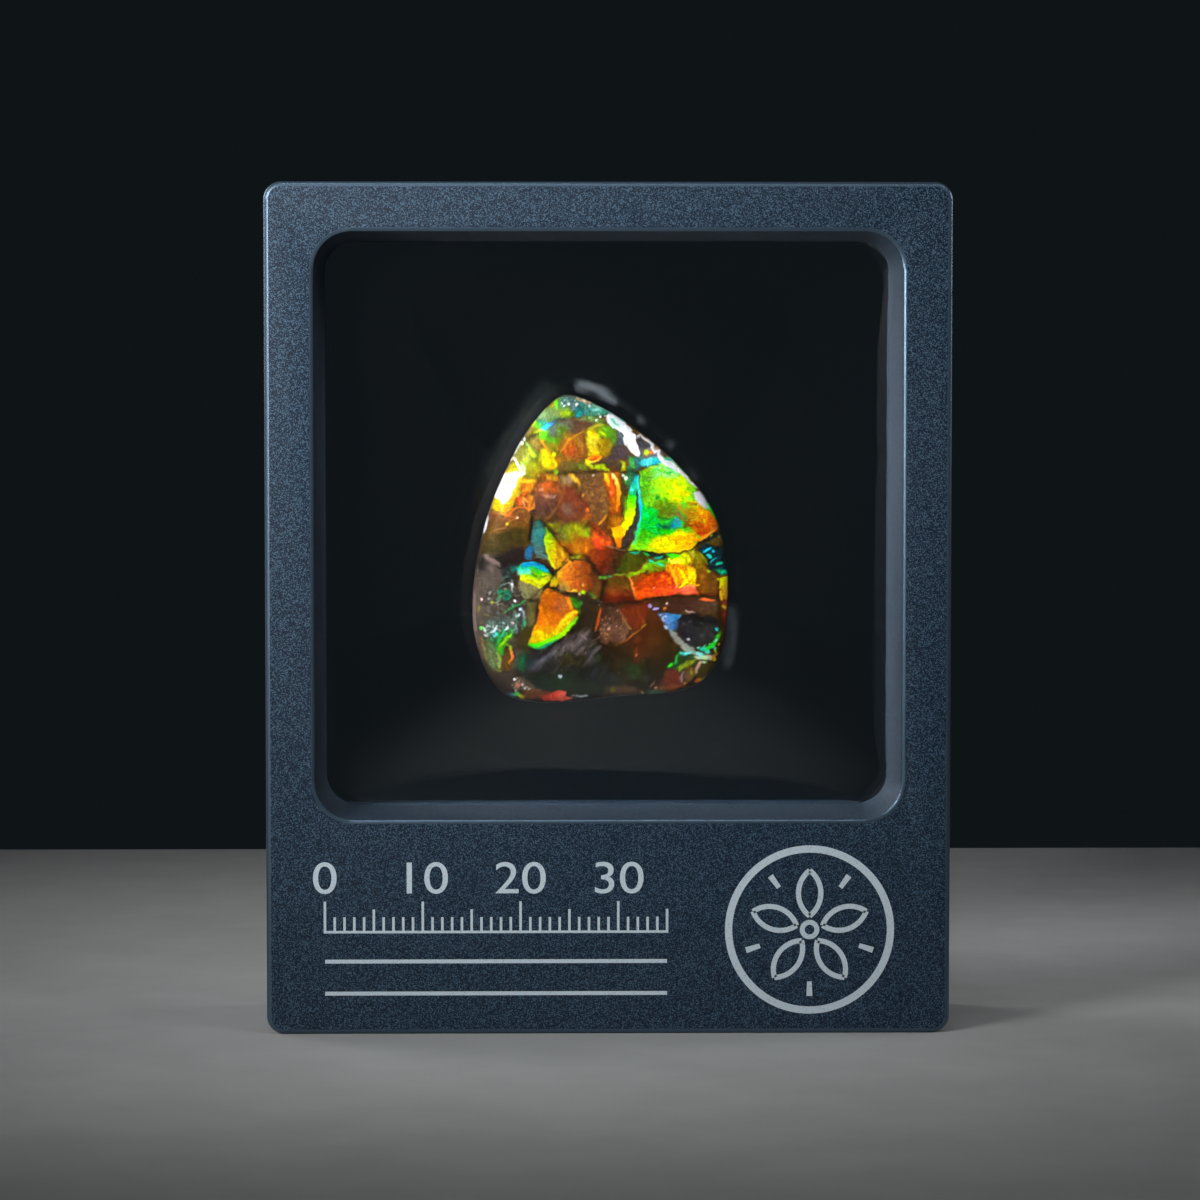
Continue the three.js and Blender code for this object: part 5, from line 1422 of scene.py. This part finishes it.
# Flecks: an outline, how many are tried in it, their colours, their size in mm and the seed of their places.
SPECKS = (
    ("-4.9,64.2 -4.6,65.2 -1.4,64.7 1.4,62.8 0.4,62.4 -2.6,63.6", 30, "D8E8E0 98D0C0 C8B8A0", 0.10, 1),
    ("-12.8,42.2 -11,42.2 -9.2,43.2 -9.4,41.2 -10.4,40.8 -12.8,40.6",
     70, "D8E4E4 60A080 9AA8A4 38A880 4A4A44", 0.11, 2),
    ("-12.4,46.4 -10,46.4 -9,44 -10,42 -12.6,42.4", 50, "8A8078 5A9078 3A3A34 7A7A50", 0.10, 3),
    ("-10,36.4 -8.8,36 -7.6,35 -9.8,34.6", 60, "B0A090 3A2E28 8A6A58 D0C8C0", 0.10, 4),
    ("-7,36.6 4,37.6 4.6,35.4 -7,35", 26, "4A6A50 48584C", 0.07, 5),
    ("9,39.2 11.6,40.4 11.6,38.6 9.2,38", 22, "90F0C8 A8D060 38D890", 0.10, 6),
    ("-0.8,43.2 2,43.4 2.2,40.8 -0.8,40.6", 34, "A87860 5A3A28 8A5A44", 0.08, 7),
    ("5.2,42.8 6.2,42.9 6.6,41.8 5.9,41.7", 26, "B8C8F0 8A90C0", 0.09, 8),
    ("7.4,42.4 11,42.2 11.4,40.4 8.6,39.6", 40, "3E3C3A 222222", 0.14, 9),
    ("-12.9,40 -11.4,38.8 -11.2,37 -12.6,37.6", 40, "98A070 6A7A4A", 0.12, 10),
)


def paint_face(nacre):
    """Lays the plates first and the painted highlights and the spots last."""
    for entry in PLATES:
        nacre.plate(*entry)
    for entry in WRINKLES:
        nacre.crumple(*entry)
    for entry in STREAKS:
        nacre.streak(*entry)
    for entry in SPECKS:
        nacre.specks(*entry)
    for entry in (*CRACKS, *OPEN_CRACKS):
        nacre.crack(*entry)
    nacre.glow()
    for entry in PAINTED_HIGHLIGHTS:
        nacre.plate(*entry)
    for entry in PAINTED_HIGHLIGHT_STREAKS:
        nacre.streak(*entry)
    for entry in DOTS:
        nacre.dots(*entry)


# ---- stone: shape ----
RING_GAP = 0.002 * MM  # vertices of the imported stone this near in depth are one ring
SECTION_STEPS = 600
MEAN_REACH = 14 * MM  # turns shares of the outline into lengths along the section
STONE_CREASE = 60  # degrees

# Widths in millimetres of the waves of the face, the broken grain of the shale and the shale's mottle.
WAVES = 2.4
SHALE_GRAIN = 0.9
SHALE_MOTTLE = 1.3
MOTTLE_AMOUNT = 0.35
SHALE = "#3E3632"

# The painted colours fade down the side, from this depth in Y over this length, in millimetres.
FADE_START, FADE_LENGTH = -1.8, 0.8
FADE = 0.75


class StoneLook(bpy.types.PropertyGroup):
    face_cells: bpy.props.IntProperty(
        name="Face cells", description="Mesh cells across the polished face", default=270, min=40, max=280)
    back_rings: bpy.props.IntProperty(
        name="Back rings", description="Rings of mesh over the sides and the back", default=20, min=8, max=40)
    waviness: bpy.props.FloatProperty(
        name="Waviness", description="Height of the low waves of the polished face",
        default=0.035 * MM, precision=6, unit="LENGTH")
    roughness: bpy.props.FloatProperty(
        name="Shale relief", description="Height of the broken grain of the shale behind the nacre",
        default=0.09 * MM, precision=6, unit="LENGTH")


def smooth_through(values, at, closed):
    """Values at fractional row numbers, on a Catmull-Rom curve through the rows."""
    count = len(values)
    low = np.floor(at).astype(int)
    part = (at - low).reshape(-1, *[1] * (values.ndim - 1))
    pick = (lambda i: values[i % count]) if closed else (lambda i: values[np.clip(i, 0, count - 1)])
    before, start, end, after = (pick(low + shift) for shift in (-1, 0, 1, 2))
    return start + 0.5 * part * (end - before + part * (2 * before - 5 * start + 4 * end - after
                                                       + part * (3 * (start - end) + after - before)))


class StoneForm:
    """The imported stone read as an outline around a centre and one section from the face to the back."""

    def __init__(self):
        bm = merged_copy("ammolite")
        places = np.array([vert.co for vert in bm.verts])
        bm.free()
        self.centre = places[places[:, 1].argmin()]
        levels = np.unique(places[:, 1].round(6))
        rings = [places[np.abs(places[:, 1] - level) < RING_GAP] for level in levels]
        reaches = [np.hypot(*(ring - self.centre)[:, [0, 2]].T) for ring in rings]
        widest = max(range(len(rings)), key=lambda i: reaches[i].mean())
        offset = rings[widest] - self.centre
        angles = np.arctan2(offset[:, 2], offset[:, 0]) % math.tau
        order = angles.argsort()
        self.angles = angles[order]
        self.reaches = reaches[widest][order]
        shares = [reach.mean() / reaches[widest].mean() for reach in reaches]
        section = np.array([shares, levels]).T
        rows = smooth_through(section, np.linspace(0, len(section) - 1, SECTION_STEPS), closed=False)
        turn = rows[:, 0].argmax()
        self.face = rows[:turn + 1]
        self.back = rows[turn:]

    def reach(self, angle):
        """Distance from the centre to the outline, at any angle."""
        laps = np.concatenate((self.angles, [self.angles[0] + math.tau]))
        turned = (angle - laps[0]) % math.tau + laps[0]
        row = np.interp(turned, laps, np.arange(len(laps)))
        return smooth_through(self.reaches, row, closed=True)

    def place(self, share, angle, depth):
        """Places at a share of the way from the centre to the outline, and at a depth in Y."""
        run = share * self.reach(angle)
        across, up = run * np.cos(angle), run * np.sin(angle)
        return np.stack((self.centre[0] + across, depth, self.centre[2] + up), 1)

    def face_place(self, share, angle):
        """The same on the polished face, where the section gives the depth."""
        rising = np.maximum.accumulate(self.face[:, 0])
        return self.place(share, angle, np.interp(share, rising, self.face[:, 1]))


def square_to_disc(places):
    """Share of the radius and angle of a point of a square, by the map that keeps the cells even."""
    u, v = places[:, 0], places[:, 1]
    wide = np.abs(u) > np.abs(v)
    share = np.where(wide, np.abs(u), np.abs(v))
    ratio_u = v / np.where(np.abs(u) < 1e-12, 1, u)
    ratio_v = u / np.where(np.abs(v) < 1e-12, 1, v)
    angle = np.where(wide, math.pi / 4 * ratio_u, math.pi / 2 - math.pi / 4 * ratio_v)
    return share, angle + np.where(np.where(wide, u, v) < 0, math.pi, 0)


def move_all(verts, places):
    """Moves each vertex to its own place."""
    for vert, place in zip(verts, places):
        vert.co = place


def build_stone(look):
    """A grid bent onto the face, with its rim carried round to the back in rings."""
    form = StoneForm()
    bm = bmesh.new()
    bmesh.ops.create_grid(bm, x_segments=look.face_cells, y_segments=look.face_cells, size=1)
    share, angle = square_to_disc(np.array([vert.co for vert in bm.verts]))
    face_verts = list(bm.verts)
    rim = [edge for edge in bm.edges if edge.is_boundary]
    move_all(face_verts, form.face_place(share, angle))

    steps = np.diff(form.back * (MEAN_REACH, 1), axis=0)
    runs = np.concatenate(([0], np.cumsum(np.hypot(*steps.T))))
    stops = np.linspace(0, 1, look.back_rings + 1)[1:-1] * runs[-1]
    for stop in stops:
        new = bmesh.ops.extrude_edge_only(bm, edges=rim)["geom"]
        fresh = [item for item in new if isinstance(item, bmesh.types.BMVert)]
        rim = [item for item in new if isinstance(item, bmesh.types.BMEdge)
               and item.verts[0] in fresh and item.verts[1] in fresh]
        offsets = np.array([vert.co for vert in fresh]) - form.centre
        turns = np.arctan2(offsets[:, 2], offsets[:, 0])
        at_share = np.interp(stop, runs, form.back[:, 0])
        at_depth = np.interp(stop, runs, form.back[:, 1])
        move_all(fresh, form.place(np.full(len(turns), at_share), turns, np.full(len(turns), at_depth)))
    bmesh.ops.contextual_create(bm, geom=rim)
    bmesh.ops.recalc_face_normals(bm, faces=bm.faces)
    return bm, len(face_verts)


def press_relief(mesh, points, nacre, look):
    """Lifts the waves of the face, presses its cracks in and roughens the shale behind it."""
    face = len(nacre.points)
    heights = np.zeros(len(points))
    heights[:face] = ripple(points[:face], WAVES) * look.waviness + nacre.height * MM
    heights[face:] = -ripple(points[face:], SHALE_GRAIN) * look.roughness
    places = np.empty(len(points) * 3)
    mesh.vertices.foreach_get("co", places)
    places = places.reshape(-1, 3)
    places[:, 1] -= heights
    mesh.vertices.foreach_set("co", places.ravel())
    return places[:, 1] / MM


def colour_stone(mesh, points, depths, nacre):
    """Writes the colour of each vertex, and which of them are polished nacre."""
    face = len(nacre.points)
    colours = np.ones((len(points), 4), np.float32)
    faded = FADE * smooth_step((depths[:face] - FADE_START) / FADE_LENGTH)
    colours[:face, :3] = linearised(np.clip(nacre.colour, 0, 1) * (1 - faded)[:, None])
    mottle = 1 + MOTTLE_AMOUNT * ripple(points[face:], SHALE_MOTTLE)
    colours[face:, :3] = np.outer(mottle, to_linear(SHALE)[:3])
    layer = mesh.color_attributes.new("nacre", "FLOAT_COLOR", "POINT")
    layer.data.foreach_set("color", colours.ravel())
    polish = np.zeros(len(points), np.float32)
    polish[:face] = 1
    mesh.attributes.new("polish", "FLOAT", "POINT").data.foreach_set("value", polish)


class AMMOLITE_OT_stone(bpy.types.Operator):
    """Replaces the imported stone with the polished, cracked and coloured one"""
    bl_idname = "ammolite.stone"
    bl_label = "Ammolite"

    def execute(self, context):
        look = context.scene.ammolite_stone
        bm, face_count = build_stone(look)
        stone = new_piece("ammolite_polished", bm, polished_ammolite())
        points = plan_of(stone.data)
        nacre = Nacre(points[:face_count])
        paint_face(nacre)
        depths = press_relief(stone.data, points, nacre, look)
        colour_stone(stone.data, points, depths, nacre)
        stone.data.update()
        shade(stone, STONE_CREASE)
        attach(stone, "rear")
        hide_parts("ammolite")
        return {"FINISHED"}


WRINKLE_WIDTH = 0.30  # millimetres
WRINKLE_SCALE = (1, 1, 1.7)  # narrower upwards
WRINKLE_DEPTH = 0.05 * MM


def polished_ammolite():
    """Polished ammolite: pure colours under a smooth surface, on matt dark shale."""
    material = new_material("polished_ammolite")
    place = add_node(material, "ShaderNodeTexCoord").outputs["Object"]
    colour = add_node(material, "ShaderNodeVertexColor", layer_name="nacre").outputs["Color"]
    polish = add_node(material, "ShaderNodeAttribute", attribute_name="polish").outputs["Fac"]
    stretch = add_node(material, "ShaderNodeMapping", {"Vector": place, "Scale": WRINKLE_SCALE})
    wrinkle = add_node(material, "ShaderNodeTexNoise", {
        "Vector": stretch.outputs["Vector"], "Scale": per_metre(WRINKLE_WIDTH), "Detail": 4.0,
        "Roughness": 0.7, "Distortion": 0.5})
    # Dims the painted colours as a whole, and paints shade where the wrinkle bump is low.
    level = add_node(material, "ShaderNodeMapRange", {
        "Value": wrinkle.outputs["Fac"], "From Min": 0.40, "From Max": 0.60, "To Min": 0.56, "To Max": 0.76})
    tint = add_node(material, "ShaderNodeVectorMath", {0: colour, 1: level.outputs["Result"]},
                    operation="MULTIPLY")
    rough = add_node(material, "ShaderNodeMapRange", {"Value": polish, "To Min": 0.8, "To Max": 0.36})
    metal = add_node(material, "ShaderNodeMapRange", {"Value": polish, "To Min": 0.0, "To Max": 0.12})
    bump = add_node(material, "ShaderNodeBump", {
        "Height": wrinkle.outputs["Fac"], "Strength": 0.6, "Distance": WRINKLE_DEPTH})
    shader = add_node(material, "ShaderNodeBsdfPrincipled", {
        "Base Color": tint.outputs["Vector"], "Metallic": metal.outputs["Result"],
        "Roughness": rough.outputs["Result"], "Normal": bump.outputs["Normal"],
        "Specular IOR Level": 0.03, "Coat Weight": 0.04, "Coat Roughness": 0.03, "Coat IOR": 1.5})
    return finish_material(material, shader)


# ---- add-on ----
class AMMOLITE_PT_panel(bpy.types.Panel):
    """Lists the steps that dress the frame, with the looks that they read"""
    bl_idname = "AMMOLITE_PT_panel"
    bl_label = "Ammolite"
    bl_space_type = "VIEW_3D"
    bl_region_type = "UI"
    bl_category = "Ammolite"

    def draw(self, context):
        for operator, (name, look) in zip(OPERATORS, LOOKS.items()):
            box = self.layout.box()
            box.operator(operator.bl_idname)
            for prop in look.__annotations__:
                box.prop(getattr(context.scene, name), prop)


LOOKS = {
    "ammolite_stage": StageLook,
    "ammolite_frame": FrameLook,
    "ammolite_label": LabelLook,
    "ammolite_films": FilmLook,
    "ammolite_stone": StoneLook,
}
OPERATORS = (AMMOLITE_OT_stage, AMMOLITE_OT_frame, AMMOLITE_OT_label, AMMOLITE_OT_films, AMMOLITE_OT_stone)


def register():
    for made in (*LOOKS.values(), *OPERATORS, AMMOLITE_PT_panel):
        bpy.utils.register_class(made)
    for name, look in LOOKS.items():
        setattr(bpy.types.Scene, name, bpy.props.PointerProperty(type=look))


def unregister():
    for name in LOOKS:
        delattr(bpy.types.Scene, name)
    for made in (AMMOLITE_PT_panel, *reversed(OPERATORS), *reversed(LOOKS.values())):
        bpy.utils.unregister_class(made)


def main():
    register()
    bpy.ops.ammolite.stage()
    bpy.ops.ammolite.frame()
    bpy.ops.ammolite.label()
    bpy.ops.ammolite.films()
    bpy.ops.ammolite.stone()


if __name__ == "__main__":
    main()
